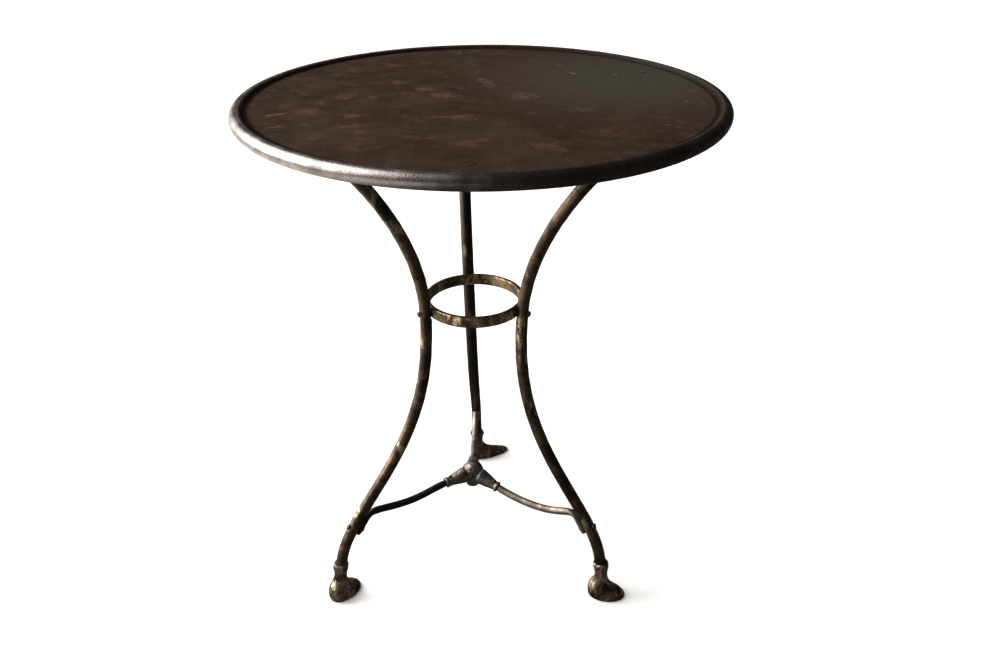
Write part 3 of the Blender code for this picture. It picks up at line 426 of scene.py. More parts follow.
def sheet_finish():
    material, tree, shader, place = start_material("sheet_patina")
    flat = add_node(tree, "ShaderNodeMapping", {"Vector": place, "Scale": (1.0, 1.0, 0.2)}).outputs[0]
    parts = add_node(tree, "ShaderNodeSeparateXYZ", {0: place})
    level = {"X": parts.outputs["X"], "Y": parts.outputs["Y"]}
    across = add_node(tree, "ShaderNodeCombineXYZ", level).outputs[0]
    radius = vectors(tree, "LENGTH", across).outputs["Value"]
    clouds = use(tree, PATCHES, Vector=flat, Size=0.090, Low=0.38, High=0.64).outputs["Mask"]
    small = use(tree, PATCHES, Vector=flat, Size=0.024, Low=0.42, High=0.66).outputs["Mask"]
    bruises = use(tree, PATCHES, Vector=flat, Size=0.030, Low=0.56, High=0.68).outputs["Mask"]
    colour = mixed(tree, clouds, BROWN, LIGHT_BROWN)
    colour = mixed(tree, sums(tree, "MULTIPLY", small, 0.25), colour, WAXED_BROWN)
    # Towards the back right the colour turns grey: a painted sheen of reflected light.
    from_sheen = vectors(tree, "DISTANCE", across, SHEEN_MIDDLE).outputs["Value"]
    from_sheen = sums(tree, "ADD", from_sheen, sums(tree, "MULTIPLY", sums(tree, "ADD", clouds, small), 0.035))
    painted_sheen = ramp(tree, from_sheen, 0.05, 0.27, 0.85, 0.0)
    colour = mixed(tree, painted_sheen, colour, SHEEN_GREY)
    warm = sums(tree, "MULTIPLY", bruises, sums(tree, "SUBTRACT", 0.36, sums(tree, "MULTIPLY", painted_sheen, 0.36)))
    colour = mixed(tree, warm, colour, BRUISE)
    for spot, turn, length, width, tint, strength in MARKS:
        sizes = {"Turn": math.radians(turn), "Length": length, "Width": width}
        mark = use(tree, MARK, Vector=across, Place=(*spot, 0.0), **sizes)
        colour = mixed(tree, sums(tree, "MULTIPLY", mark.outputs["Mask"], strength), colour, tint)
    scratches = use(tree, SCRATCHES, Vector=across, Length=0.035, Width=0.0007, Turn=0.9).outputs["Mask"]
    others = use(tree, SCRATCHES, Vector=across, Length=0.050, Width=0.0006, Turn=-0.5).outputs["Mask"]
    scratched = sums(tree, "MAXIMUM", scratches, others)
    colour = mixed(tree, sums(tree, "MULTIPLY", scratched, 0.30), colour, SCRATCH)
    # The groove is painted near black: dirt, and painted shade where the bead rises from the flat.
    in_groove = ramp(tree, radius, GROOVE[0], GROOVE[0] + 0.004)
    past_groove = ramp(tree, radius, GROOVE[1] - 0.003, GROOVE[1] + 0.001, 1.0, 0.0)
    groove = sums(tree, "MULTIPLY", in_groove, past_groove)
    colour = mixed(tree, sums(tree, "MULTIPLY", groove, 0.85), colour, GROOVE_DIRT_AND_SHADE)
    on_bead = ramp(tree, radius, GROOVE[1], GROOVE[1] + 0.004)
    rubbed = use(tree, PATCHES, Vector=place, Size=0.03, Low=0.36, High=0.60).outputs["Mask"]
    # The bead is painted lighter towards the left, the window's side: a painted highlight over the rubbed wear.
    lit_side_highlight = ramp(tree, parts.outputs["X"], -0.12, 0.06, 1.0, 0.12)
    worn_evenly = sums(tree, "ADD", 0.5, sums(tree, "MULTIPLY", rubbed, 0.5))
    bead_wear_and_highlight = sums(tree, "MULTIPLY", sums(tree, "MULTIPLY", on_bead, worn_evenly), lit_side_highlight)
    colour = mixed(tree, on_bead, colour, BEAD_DARK)
    colour = mixed(tree, sums(tree, "MULTIPLY", bead_wear_and_highlight, 0.8), colour, BEAD_WEAR_AND_HIGHLIGHT)
    skin = use(tree, SKIN, Vector=place, Blow_Size=0.022, Pit_Size=0.0016)
    colour = mixed(tree, sums(tree, "MULTIPLY", skin.outputs["Pits"], 0.45), colour, PIT_DIRT)
    tree.links.new(colour, shader.inputs["Base Color"])
    rough = sums(tree, "ADD", 0.50, sums(tree, "MULTIPLY", small, 0.14))
    rough = sums(tree, "SUBTRACT", rough, sums(tree, "MULTIPLY", on_bead, 0.25))
    rough = sums(tree, "SUBTRACT", rough, sums(tree, "MULTIPLY", painted_sheen, 0.05))
    tree.links.new(rough, shader.inputs["Roughness"])
    tree.links.new(sums(tree, "MULTIPLY", on_bead, 0.85), shader.inputs["Metallic"])
    shader.inputs["Specular IOR Level"].default_value = 0.03
    relief = sums(tree, "SUBTRACT", skin.outputs["Height"], sums(tree, "MULTIPLY", scratched, 0.25))
    bump = add_node(tree, "ShaderNodeBump", {"Height": relief, "Strength": 0.45, "Distance": 0.0004})
    tree.links.new(bump.outputs[0], shader.inputs["Normal"])
    return material


SHEET_PATINA = sheet_finish()
print("groove from", round(GROOVE[0], 4), "to", round(GROOVE[1], 4), "out to the rim at", round(RIM_RADIUS, 4))

# %% [markdown]
# Now the shapes. Hot bar takes marks from the hammer and the anvil, so no two stretches of it are quite alike.
# One geometry node group gives any surface that skin: it sinks each point a little along its normal, by a
# pattern of blows and a finer unevenness. It only ever sinks, so that a piece never grows past its exact size.


# %% geometry group: hammered skin
def make_hammered():
    sockets = [
        ("Geometry", "Geometry", None), ("Blow Depth", "Float", 0.0003), ("Blow Size", "Float", 0.012),
        ("Seed", "Float", 0.0),
    ]
    group, given, result = new_group("GeometryNodeTree", "hammered_skin", sockets, [("Geometry", "Geometry")])
    place = add_node(group, "GeometryNodeInputPosition").outputs[0]
    apart = add_node(group, "ShaderNodeCombineXYZ", {"X": given.outputs["Seed"]}).outputs[0]
    place = vectors(group, "ADD", place, apart).outputs[0]
    scale = sums(group, "DIVIDE", 1.0, given.outputs["Blow Size"])
    links = {"Vector": place, "Scale": scale, "Smoothness": 1.0}
    blows = add_node(group, "ShaderNodeTexVoronoi", links, feature="SMOOTH_F1")
    uneven = add_node(group, "ShaderNodeTexNoise", {"Vector": place, "Scale": scale, "Detail": 2.0})
    sunk = sums(group, "ADD", sums(group, "MULTIPLY", blows.outputs["Distance"], 0.6), uneven.outputs[0])
    depth = sums(group, "MULTIPLY", sunk, sums(group, "MULTIPLY", given.outputs["Blow Depth"], -1.0))
    normal = add_node(group, "GeometryNodeInputNormal").outputs[0]
    offset = vectors(group, "SCALE", normal)
    group.links.new(depth, offset.inputs["Scale"])
    moved_links = {"Geometry": given.outputs["Geometry"], "Offset": offset.outputs[0]}
    moved = add_node(group, "GeometryNodeSetPosition", moved_links)
    group.links.new(moved.outputs[0], result.inputs["Geometry"])
    return group


HAMMERED = make_hammered()


# %% finish a node tree and turn it into a plain mesh
def end_tree(group, geometry, given, result):
    """Realize Instances, smooth shading and Set Material, which every tree of a piece ends in."""
    real = add_node(group, "GeometryNodeRealizeInstances", {0: geometry})
    smooth = add_node(group, "GeometryNodeSetShadeSmooth", {"Geometry": real.outputs[0]})
    links = {"Geometry": smooth.outputs[0], "Material": given.outputs["Material"]}
    painted = add_node(group, "GeometryNodeSetMaterial", links)
    group.links.new(painted.outputs[0], result.inputs["Geometry"])


def made_with(group, name, base_mesh, material, **values):
    """A new piece: the tree applied to the mesh, as a plain mesh with its faces pointing outwards."""
    base = bpy.data.objects.new(name + "_base", base_mesh)
    bpy.context.scene.collection.objects.link(base)
    modifier = base.modifiers.new(group.name, "NODES")
    modifier.node_group = group
    for item in group.interface.items_tree:
        label = item.name.replace(" ", "_")
        if item.in_out == "INPUT" and label in values:
            modifier[item.identifier] = values[label]
        if item.in_out == "INPUT" and item.name == "Material":
            modifier[item.identifier] = material
    graph = bpy.context.evaluated_depsgraph_get()
    mesh = bpy.data.meshes.new_from_object(base.evaluated_get(graph))
    bpy.data.objects.remove(base)
    return plain_piece(name, mesh, material)


def plain_piece(name, mesh, material):
    """An object at the origin that holds the mesh, with doubles merged, normals outwards and one finish."""
    shape = bmesh.new()
    shape.from_mesh(mesh)
    bmesh.ops.remove_doubles(shape, verts=shape.verts, dist=1e-6)
    bmesh.ops.recalc_face_normals(shape, faces=shape.faces)
    shape.to_mesh(mesh)
    shape.free()
    mesh.name = name
    mesh.materials.clear()
    mesh.materials.append(material)
    mesh.polygons.foreach_set("material_index", [0] * len(mesh.polygons))
    mesh.shade_smooth()
    piece = bpy.data.objects.new(name, mesh)
    bpy.context.scene.collection.objects.link(piece)
    return piece


# %% [markdown]
# A bar is a section carried along a path. The exact legs and arms already hold both, so they are read off them:
# a plane steps along the bar, and the outline where it cuts the piece gives the middle, the thickness and the
# width there. That keeps flats, tenons and the filed seats in the right place without repeating any sum.


# %% read a bar's path from its exact piece
def triangles_of(node):
    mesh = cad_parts[node].data
    mesh.calc_loop_triangles()
    points = np.array([vertex.co for vertex in mesh.vertices], float)
    faces = np.array([triangle.vertices for triangle in mesh.loop_triangles])
    return points[faces]


def cut(triangles, middle, way, reach):
    """The points where triangles cross the plane through middle, square to way, within reach of middle."""
    heights = (triangles - middle) @ way
    found = []
    for first, second in ((0, 1), (1, 2), (2, 0)):
        above, below = heights[:, first], heights[:, second]
        crossing = (above < 0) != (below < 0)
        share = (above[crossing] / (above[crossing] - below[crossing]))[:, None]
        found.append(triangles[crossing, first] * (1 - share) + triangles[crossing, second] * share)
    points = np.concatenate(found)
    return points[np.linalg.norm(points - middle, axis=1) < reach]


def trace_bar(node, start, way, side, step=0.002, reach=0.022):
    """Sections along a bar: rows of middle, across, side, half thickness and half width."""
    triangles = triangles_of(node)
    middle, way, side = np.array(start, float), np.array(way, float), np.array(side, float)
    rows = []
    while len(rows) < 800:
        points = cut(triangles, middle, way, reach)
        if len(points) < 6:
            break
        across = np.cross(way, side)
        across /= np.linalg.norm(across)
        u, v = (points - middle) @ across, (points - middle) @ side
        middle = middle + across * (u.min() + u.max()) / 2 + side * (v.min() + v.max()) / 2
        rows.append((middle, across, side, (u.max() - u.min()) / 2, (v.max() - v.min()) / 2))
        if len(rows) > 4:
            way = middle - rows[-5][0]
            way /= np.linalg.norm(way)
        middle = middle + way * step
    return rows


def smoothed(rows, width=2):
    """The rows with each value averaged over its neighbours."""
    calm = []
    for index in range(len(rows)):
        near = rows[max(index - width, 0) : index + width + 1]
        calm.append(tuple(sum(row[part] for row in near) / len(near) for part in range(5)))
    return calm


# %% [markdown]
# The path becomes a line of vertices that carries the section's sizes as attributes. A geometry node tree turns
# the line into a curve, carries a circle along it, and then flattens that circle by the sizes at each point: 2
# is a round section and a higher number is a squarer one. The same tree makes legs, arms and the flat rings.


# %% a line with its sizes
def line_mesh(name, rows, squareness, closed=False):
    mesh = bpy.data.meshes.new(name)
    count = len(rows)
    edges = [(index, index + 1) for index in range(count - 1)]
    if closed:
        edges.append((count - 1, 0))
    mesh.from_pydata([tuple(row[0]) for row in rows], edges, [])
    for label, part in (("across", 1), ("side", 2)):
        values = np.array([row[part] for row in rows], np.float32).ravel()
        mesh.attributes.new(label, "FLOAT_VECTOR", "POINT").data.foreach_set("vector", values)
    sizes = {"thickness": [row[3] for row in rows], "width": [row[4] for row in rows], "squareness": squareness}
    for label, values in sizes.items():
        mesh.attributes.new(label, "FLOAT", "POINT").data.foreach_set("value", np.array(values, np.float32))
    return mesh


# %% geometry tree: a forged bar
def named(group, label, data_type="FLOAT"):
    node = add_node(group, "GeometryNodeInputNamedAttribute", data_type=data_type)
    node.inputs["Name"].default_value = label
    return node.outputs["Attribute"]


def make_forged_bar():
    sockets = [
        ("Geometry", "Geometry", None), ("Rings", "Int", 200), ("Sides", "Int", 24),
        ("Material", "Material", None), ("Blow Depth", "Float", 0.0003), ("Blow Size", "Float", 0.012),
        ("Seed", "Float", 0.0),
    ]
    group, given, result = new_group("GeometryNodeTree", "forged_bar", sockets, [("Geometry", "Geometry")])
    unit = 0.001
    curve = add_node(group, "GeometryNodeMeshToCurve", {"Mesh": given.outputs["Geometry"]}).outputs[0]
    curve = add_node(group, "GeometryNodeCurveSplineType", {"Curve": curve}, spline_type="CATMULL_ROM").outputs[0]
    even_links = {"Curve": curve, "Count": given.outputs["Rings"]}
    curve = add_node(group, "GeometryNodeResampleCurve", even_links).outputs[0]
    here = add_node(group, "GeometryNodeInputPosition").outputs[0]
    store = add_node(group, "GeometryNodeStoreNamedAttribute", data_type="FLOAT_VECTOR", domain="POINT")
    store.inputs["Name"].default_value = "middle"
    group.links.new(curve, store.inputs["Geometry"])
    group.links.new(here, store.inputs["Value"])
    circle_links = {"Resolution": given.outputs["Sides"], "Radius": unit}
    circle = add_node(group, "GeometryNodeCurvePrimitiveCircle", circle_links)
    links = {"Curve": store.outputs[0], "Profile Curve": circle.outputs[0], "Fill Caps": True}
    tube = add_node(group, "GeometryNodeCurveToMesh", links).outputs[0]
    middle = named(group, "middle", "FLOAT_VECTOR")
    across, side = named(group, "across", "FLOAT_VECTOR"), named(group, "side", "FLOAT_VECTOR")
    around = add_node(group, "GeometryNodeInputPosition").outputs[0]
    away = vectors(group, "SUBTRACT", around, middle).outputs[0]
    power = sums(group, "DIVIDE", 2.0, named(group, "squareness"))
    target = middle
    for direction, size in ((across, named(group, "thickness")), (side, named(group, "width"))):
        reach = vectors(group, "DOT_PRODUCT", away, direction).outputs["Value"]
        reach = sums(group, "DIVIDE", reach, unit)
        squared = sums(group, "POWER", sums(group, "ABSOLUTE", reach), power)
        signed = sums(group, "MULTIPLY", sums(group, "MULTIPLY", squared, sums(group, "SIGN", reach)), size)
        part = vectors(group, "SCALE", direction)
        group.links.new(signed, part.inputs["Scale"])
        target = vectors(group, "ADD", target, part.outputs[0]).outputs[0]
    shaped = add_node(group, "GeometryNodeSetPosition", {"Geometry": tube, "Position": target}).outputs[0]
    skin = add_node(group, "GeometryNodeGroup", node_tree=HAMMERED)
    group.links.new(shaped, skin.inputs["Geometry"])
    for label in ("Blow Depth", "Blow Size", "Seed"):
        group.links.new(given.outputs[label], skin.inputs[label])
    end_tree(group, skin.outputs[0], given, result)
    return group


FORGED_BAR = make_forged_bar()
print("bar tree has", len(FORGED_BAR.nodes), "nodes")

# %% [markdown]
# Each leg is one length of round bar. It stands on its foot, sweeps in to the collar ring, and sweeps out again
# to a hammered flat that is riveted under the top. The trace starts where the round bar begins above the foot.


# %% legs
def flat_share(row):
    """0 where the section is round, and 1 where it is hammered flat."""
    return min(max((row[4] / max(row[3], 1e-6) - 1.15) / 0.8, 0.0), 1.0)


def level_side(node):
    """The level direction square to the plane that a leg lies in."""
    points = np.array([vertex.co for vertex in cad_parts[node].data.vertices], float)[:, :2]
    upper = points - points.mean(axis=0)
    way = np.linalg.svd(upper, full_matrices=False)[2][0]
    return np.array([-way[1], way[0], 0.0])


def seated(rows, depth=0.003):
    """The rows with one more at the foot, so that the bar stands a little way down in the socket's mouth."""
    first, second = rows[0], rows[1]
    down = (first[0] - second[0]) / np.linalg.norm(first[0] - second[0])
    return [(first[0] + down * depth, *first[1:]), *rows]


def make_leg(place_name, seed):
    node = "leg_" + place_name
    low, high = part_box(node)
    triangles = triangles_of(node)
    bottom = triangles.reshape(-1, 3)
    bottom = bottom[bottom[:, 2] < low.z + 0.0015].mean(axis=0) + [0, 0, 0.001]
    rows = trace_bar(node, bottom, (0.0, 0.0, 1.0), level_side(node))
    full = next(index for index, row in enumerate(rows) if row[3] > 0.0075)
    rows = seated(smoothed(rows[full:])[::3])
    squareness = [2.0 + 4.0 * flat_share(row) for row in rows]
    mesh = line_mesh(node + "_line", rows, squareness)
    leg = made_with(
        FORGED_BAR, "forged_" + node, mesh, DARK_IRON if place_name == "rear" else BAR_IRON,
        Rings=340, Sides=28, Blow_Depth=0.00035, Blow_Size=0.016, Seed=seed,
    )
    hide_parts(node)
    print(node, "sections", len(rows), "top of trace", [round(float(part), 3) for part in rows[-1][0]])
    return leg


LEGS = [make_leg(place_name, 1.7 * index) for index, place_name in enumerate(PLACES)]

# %% [markdown]
# Three thinner arms brace the legs low down. Each one enters a socket of the hub, sags a little, and ends in a
# flat tab that is riveted to its leg. They are the same forging at a smaller size, so they use the same tree.


# %% stretcher arms
ARM_IRON = {"rear": WORN_IRON, "front_left": DARK_IRON, "front_right": WORN_IRON}


def make_arm(place_name, seed):
    node = "stretcher_arm_" + place_name
    points = triangles_of(node).reshape(-1, 3)
    hub_low, hub_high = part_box("hub")
    hub_middle = np.array([(hub_low.x + hub_high.x) / 2, (hub_low.y + hub_high.y) / 2])
    away = np.linalg.norm(points[:, :2] - hub_middle, axis=1)
    inner = points[away < away.min() + 0.004].mean(axis=0)
    way = points[away > away.max() - 0.02].mean(axis=0) - inner
    way[2] = -0.2 * np.linalg.norm(way[:2])
    way /= np.linalg.norm(way)
    side = np.array([-way[1], way[0], 0.0])
    side /= np.linalg.norm(side)
    rows = trace_bar(node, inner + way * 0.001, way, side, reach=0.013)
    full = next(index for index, row in enumerate(rows) if row[3] > 0.0052)
    rows = smoothed(rows[max(full - 2, 0) :], 1)[::2]
    squareness = [2.0 + 3.0 * flat_share(row) for row in rows]
    arm = made_with(
        FORGED_BAR, "forged_" + node, line_mesh(node + "_line", rows, squareness), ARM_IRON[place_name],
        Rings=150, Sides=24, Blow_Depth=0.00028, Blow_Size=0.012, Seed=10.0 + seed,
    )
    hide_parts(node)
    print(node, "sections", len(rows), "end", [round(float(part), 3) for part in rows[-1][0]])
    return arm


ARMS = [make_arm(place_name, 2.3 * index) for index, place_name in enumerate(PLACES)]

# %% [markdown]
# Flat iron bent edgewise or flatwise makes the two rings: the collar that the legs are riveted to, and the
# stiffening ring under the sheet. Their paths are closed circles, so only the circle's middle, radius, thickness
# and height are needed, and these come from the exact rings. The wired hoop inside the rolled edge is made too.


# %% rings
def ring_rows(node, count=96):
    low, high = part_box(node)
    middle = (low + high) / 2
    points = np.array([vertex.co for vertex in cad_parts[node].data.vertices], float)
    radii = np.hypot(points[:, 0] - middle.x, points[:, 1] - middle.y)
    radius, thickness = (radii.max() + radii.min()) / 2, (radii.max() - radii.min()) / 2
    width = (high.z - low.z) / 2
    rows = []
    for index in range(count):
        angle = 2 * math.pi * index / count
        outwards = np.array([math.cos(angle), math.sin(angle), 0.0])
        spot = np.array(middle) + outwards * radius
        rows.append((spot, outwards, np.array([0.0, 0.0, 1.0]), thickness, width))
    return rows


def make_ring(name, node, material, squareness, rings, sides, depth, size, seed):
    rows = ring_rows(node)
    mesh = line_mesh(node + "_line", rows, [squareness] * len(rows), closed=True)
    values = {"Rings": rings, "Sides": sides, "Blow_Depth": depth, "Blow_Size": size, "Seed": seed}
    ring = made_with(FORGED_BAR, name, mesh, material, **values)
    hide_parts(node)
    print(name, "radius", round(float(np.linalg.norm((rows[0][0] - rows[48][0])[:2]) / 2), 4))
    return ring


RINGS = [
    make_ring("forged_collar_ring", "collar_ring", COLLAR_IRON, 4.5, 220, 28, 0.00025, 0.011, 21.0),
    make_ring("flat_stiffener_ring", "stiffener_ring", DARK_IRON, 9.0, 420, 28, 0.00012, 0.02, 24.0),
    make_ring("wired_rim_hoop", "rim_hoop", DARK_IRON, 2.0, 420, 16, 0.0001, 0.02, 27.0),
]

# %% [markdown]
# The top is a main piece whose shape follows a rule: one section turned about the middle. In the shop it is a
# disc of sheet whose edge is raised and rolled over an iron hoop. A tree lays a grid, reads the section's points
# along one side of it, and turns them by the other side. The sheet then gets the shallow waves and small dents
# that a worked sheet keeps, and one nick in its rolled edge.

# %% the section of the rolled edge
SHEET_THICKNESS = 0.0015
BEAD_RADIUS = 0.009
FIELD_DROP = 0.004
CURL_END = -155.0  # degrees, where the rolled edge stops under the sheet


def sheet_section():
    """Points (radius, height) from the middle of the upper face round the rolled edge to the middle below."""
    bead = Vector((RIM_RADIUS - BEAD_RADIUS, SHEET_HIGH.z - BEAD_RADIUS))
    field = SHEET_HIGH.z - FIELD_DROP
    outer = math.degrees(math.pi - math.asin((field - bead.y) / BEAD_RADIUS))
    wall = BEAD_RADIUS - SHEET_THICKNESS
    inner = math.degrees(math.pi - math.asin((field - SHEET_THICKNESS - bead.y) / wall))
    edge = bead.x + BEAD_RADIUS * math.cos(math.radians(outer))
    steps, flats = 40, 34
    upper = [Vector((edge * index / flats, field)) for index in range(flats)]
    points = list(upper)
    for index in range(steps + 1):
        angle = math.radians(outer + (CURL_END - outer) * index / steps)
        points.append(bead + Vector((math.cos(angle), math.sin(angle))) * BEAD_RADIUS)
    for index in range(steps // 2 + 1):
        angle = math.radians(CURL_END + (inner - CURL_END) * index / (steps // 2))
        points.append(bead + Vector((math.cos(angle), math.sin(angle))) * wall)
    points += [Vector((point.x * 0.99, field - SHEET_THICKNESS)) for point in reversed(upper)]
    return points


# %% geometry tree: a turned sheet
def make_turned_sheet():
    sockets = [
        ("Geometry", "Geometry", None), ("Segments", "Int", 288), ("Section Points", "Int", 100),
        ("Material", "Material", None), ("Wave Depth", "Float", 0.0004), ("Wave Size", "Float", 0.09),
        ("Nick Place", "Vector", (0.0, 0.0, 0.0)), ("Nick Size", "Float", 0.006),
        ("Nick Depth", "Float", 0.0012),
    ]
    group, given, result = new_group("GeometryNodeTree", "turned_sheet", sockets, [("Geometry", "Geometry")])
    around = sums(group, "ADD", given.outputs["Segments"], 1.0)
    count = given.outputs["Section Points"]
    grid_links = {"Size X": 1.0, "Size Y": 1.0, "Vertices X": around, "Vertices Y": count}
    grid = add_node(group, "GeometryNodeMeshGrid", grid_links).outputs["Mesh"]
    here = add_node(group, "GeometryNodeInputPosition").outputs[0]
    parts = add_node(group, "ShaderNodeSeparateXYZ", {0: here})
    turn = sums(group, "MULTIPLY", sums(group, "ADD", parts.outputs["X"], 0.5), 2 * math.pi)
    last = sums(group, "SUBTRACT", count, 1.0)
    index = sums(group, "ROUND", sums(group, "MULTIPLY", sums(group, "ADD", parts.outputs["Y"], 0.5), last))
    sample = add_node(group, "GeometryNodeSampleIndex", data_type="FLOAT_VECTOR", domain="POINT")
    group.links.new(given.outputs["Geometry"], sample.inputs["Geometry"])
    group.links.new(add_node(group, "GeometryNodeInputPosition").outputs[0], sample.inputs["Value"])
    group.links.new(index, sample.inputs["Index"])
    turned = add_node(group, "ShaderNodeVectorRotate", {"Vector": sample.outputs[0], "Angle": turn}).outputs[0]
    shape = add_node(group, "GeometryNodeSetPosition", {"Geometry": grid, "Position": turned}).outputs[0]
    shape = add_node(group, "GeometryNodeMergeByDistance", {"Geometry": shape, "Distance": 0.00001}).outputs[0]
    place = add_node(group, "GeometryNodeInputPosition").outputs[0]
    wide = sums(group, "DIVIDE", 1.0, given.outputs["Wave Size"])
    waves = add_node(group, "ShaderNodeTexNoise", {"Vector": place, "Scale": wide, "Detail": 2.0}).outputs[0]
    sunk = sums(group, "MULTIPLY", waves, sums(group, "MULTIPLY", given.outputs["Wave Depth"], -1.0))
    sink = add_node(group, "ShaderNodeCombineXYZ", {"Z": sunk}).outputs[0]
    from_nick = vectors(group, "DISTANCE", place, given.outputs["Nick Place"]).outputs["Value"]
    nick = ramp(group, from_nick, 0.0, given.outputs["Nick Size"], 1.0, 0.0)
    inwards = vectors(group, "SCALE", add_node(group, "GeometryNodeInputNormal").outputs[0])
    group.links.new(sums(group, "MULTIPLY", nick, given.outputs["Nick Depth"]), inwards.inputs["Scale"])
    moved = vectors(group, "ADD", sink, inwards.outputs[0]).outputs[0]
    shape = add_node(group, "GeometryNodeSetPosition", {"Geometry": shape, "Offset": moved}).outputs[0]
    end_tree(group, shape, given, result)
    return group


TURNED_SHEET = make_turned_sheet()


# %% the sheet top
def make_top():
    section = sheet_section()
    mesh = bpy.data.meshes.new("sheet_section")
    edges = [(index, index + 1) for index in range(len(section) - 1)]
    mesh.from_pydata([(point.x, 0.0, point.y) for point in section], edges, [])
    angle = math.radians(231.6)
    nick = (RIM_RADIUS * math.cos(angle), RIM_RADIUS * math.sin(angle), SHEET_HIGH.z - BEAD_RADIUS * 1.4)
    values = {"Segments": 288, "Section_Points": len(section), "Wave_Depth": 0.0005, "Nick_Place": nick}
    top = made_with(TURNED_SHEET, "rolled_sheet_top", mesh, SHEET_PATINA, **values)
    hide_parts("top_sheet")
    print("top has", len(top.data.polygons), "faces from", len(section), "section points")
    return top


TOP = make_top()

# %% [markdown]
# The hub and the feet are castings. Sand leaves soft corners and a slightly lumpy skin. A copy of each exact
# piece is merged, rebuilt in small even squares with Remesh, and relaxed with Smooth, which rounds corners and
# fills the angles between sockets and dome as a real fillet does. The hammered group then roughens the skin.


# %% geometry tree: cast skin
def make_cast_skin():
    sockets = [
        ("Geometry", "Geometry", None), ("Material", "Material", None), ("Blow Depth", "Float", 0.0002),
        ("Blow Size", "Float", 0.006), ("Seed", "Float", 0.0),
    ]
    group, given, result = new_group("GeometryNodeTree", "cast_skin", sockets, [("Geometry", "Geometry")])
    skin = add_node(group, "GeometryNodeGroup", node_tree=HAMMERED)
    for label in ("Geometry", "Blow Depth", "Blow Size", "Seed"):
        group.links.new(given.outputs[label], skin.inputs[label])
    end_tree(group, skin.outputs[0], given, result)
    return group


CAST_SKIN = make_cast_skin()


def soft_copy(node, voxel, relax):
    """The exact piece as an even mesh with its corners softened."""
    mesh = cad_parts[node].data.copy()
    shape = bmesh.new()
    shape.from_mesh(mesh)
    bmesh.ops.remove_doubles(shape, verts=shape.verts, dist=2e-6)
    shape.to_mesh(mesh)
    shape.free()
    rough = bpy.data.objects.new(node + "_rough", mesh)
    bpy.context.scene.collection.objects.link(rough)
    remesh = rough.modifiers.new("even", "REMESH")
    remesh.mode = "VOXEL"
    remesh.voxel_size = voxel
    smooth = rough.modifiers.new("relaxed", "SMOOTH")
    smooth.factor = 0.5
    smooth.iterations = relax
    graph = bpy.context.evaluated_depsgraph_get()
    soft = bpy.data.meshes.new_from_object(rough.evaluated_get(graph))
    bpy.data.objects.remove(rough)
    return soft


def make_casting(name, node, material, seed, voxel=0.0007, relax=6):
    soft = soft_copy(node, voxel, relax)
    values = {"Blow_Depth": 0.0002, "Blow_Size": 0.005, "Seed": seed}
    piece = made_with(CAST_SKIN, name, soft, material, **values)
    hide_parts(node)
    print(name, "faces", len(piece.data.polygons))
    return piece


# %% hub and feet
CASTINGS = [make_casting("cast_hub", "hub", HUB_IRON, 31.0)]
for number, place_name in enumerate(PLACES):
    CASTINGS.append(make_casting("cast_foot_" + place_name, "foot_" + place_name, CAST_IRON, 33.0 + number))

# %% [markdown]
# Rivets are closed hot with a hammer, so each head is a low dome that is never quite round or straight. The
# exact rivets give where each head is, which way it faces and how wide it is. A tree puts one dome on every such
# point, turns it to face its way, sizes each one a little differently from a fixed seed, and makes them one mesh.


# %% where the rivet heads are
def head_rows(node):
    """For both ends of a rivet or pin: the head's foot, outward direction, radius and rise."""
    points = np.array([vertex.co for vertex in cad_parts[node].data.vertices], float)
    middle = (points.max(axis=0) + points.min(axis=0)) / 2
    centred = points - points.mean(axis=0)
    axis = np.linalg.svd(centred, full_matrices=False)[2][0]
    along = (points - middle) @ axis
    rows = []
    for sign in (1.0, -1.0):
        outwards = axis * sign
        reach = (along * sign).max()
        near = points[(along * sign) > reach - 0.003]
        centre = near.mean(axis=0)
        tip = centre + outwards * (reach - (centre - middle) @ outwards)
        radius = np.linalg.norm(np.cross(near - centre, outwards), axis=1).max()
        flush = outwards[2] > 0.9 and tip[2] > SHEET_HIGH.z - 0.006
        rise = 0.0002 if flush else min(0.55 * radius, 0.0025)
        foot = tip - outwards * (0.0002 if flush else rise * 0.9)
        rows.append((foot, outwards, radius, rise))
    return rows


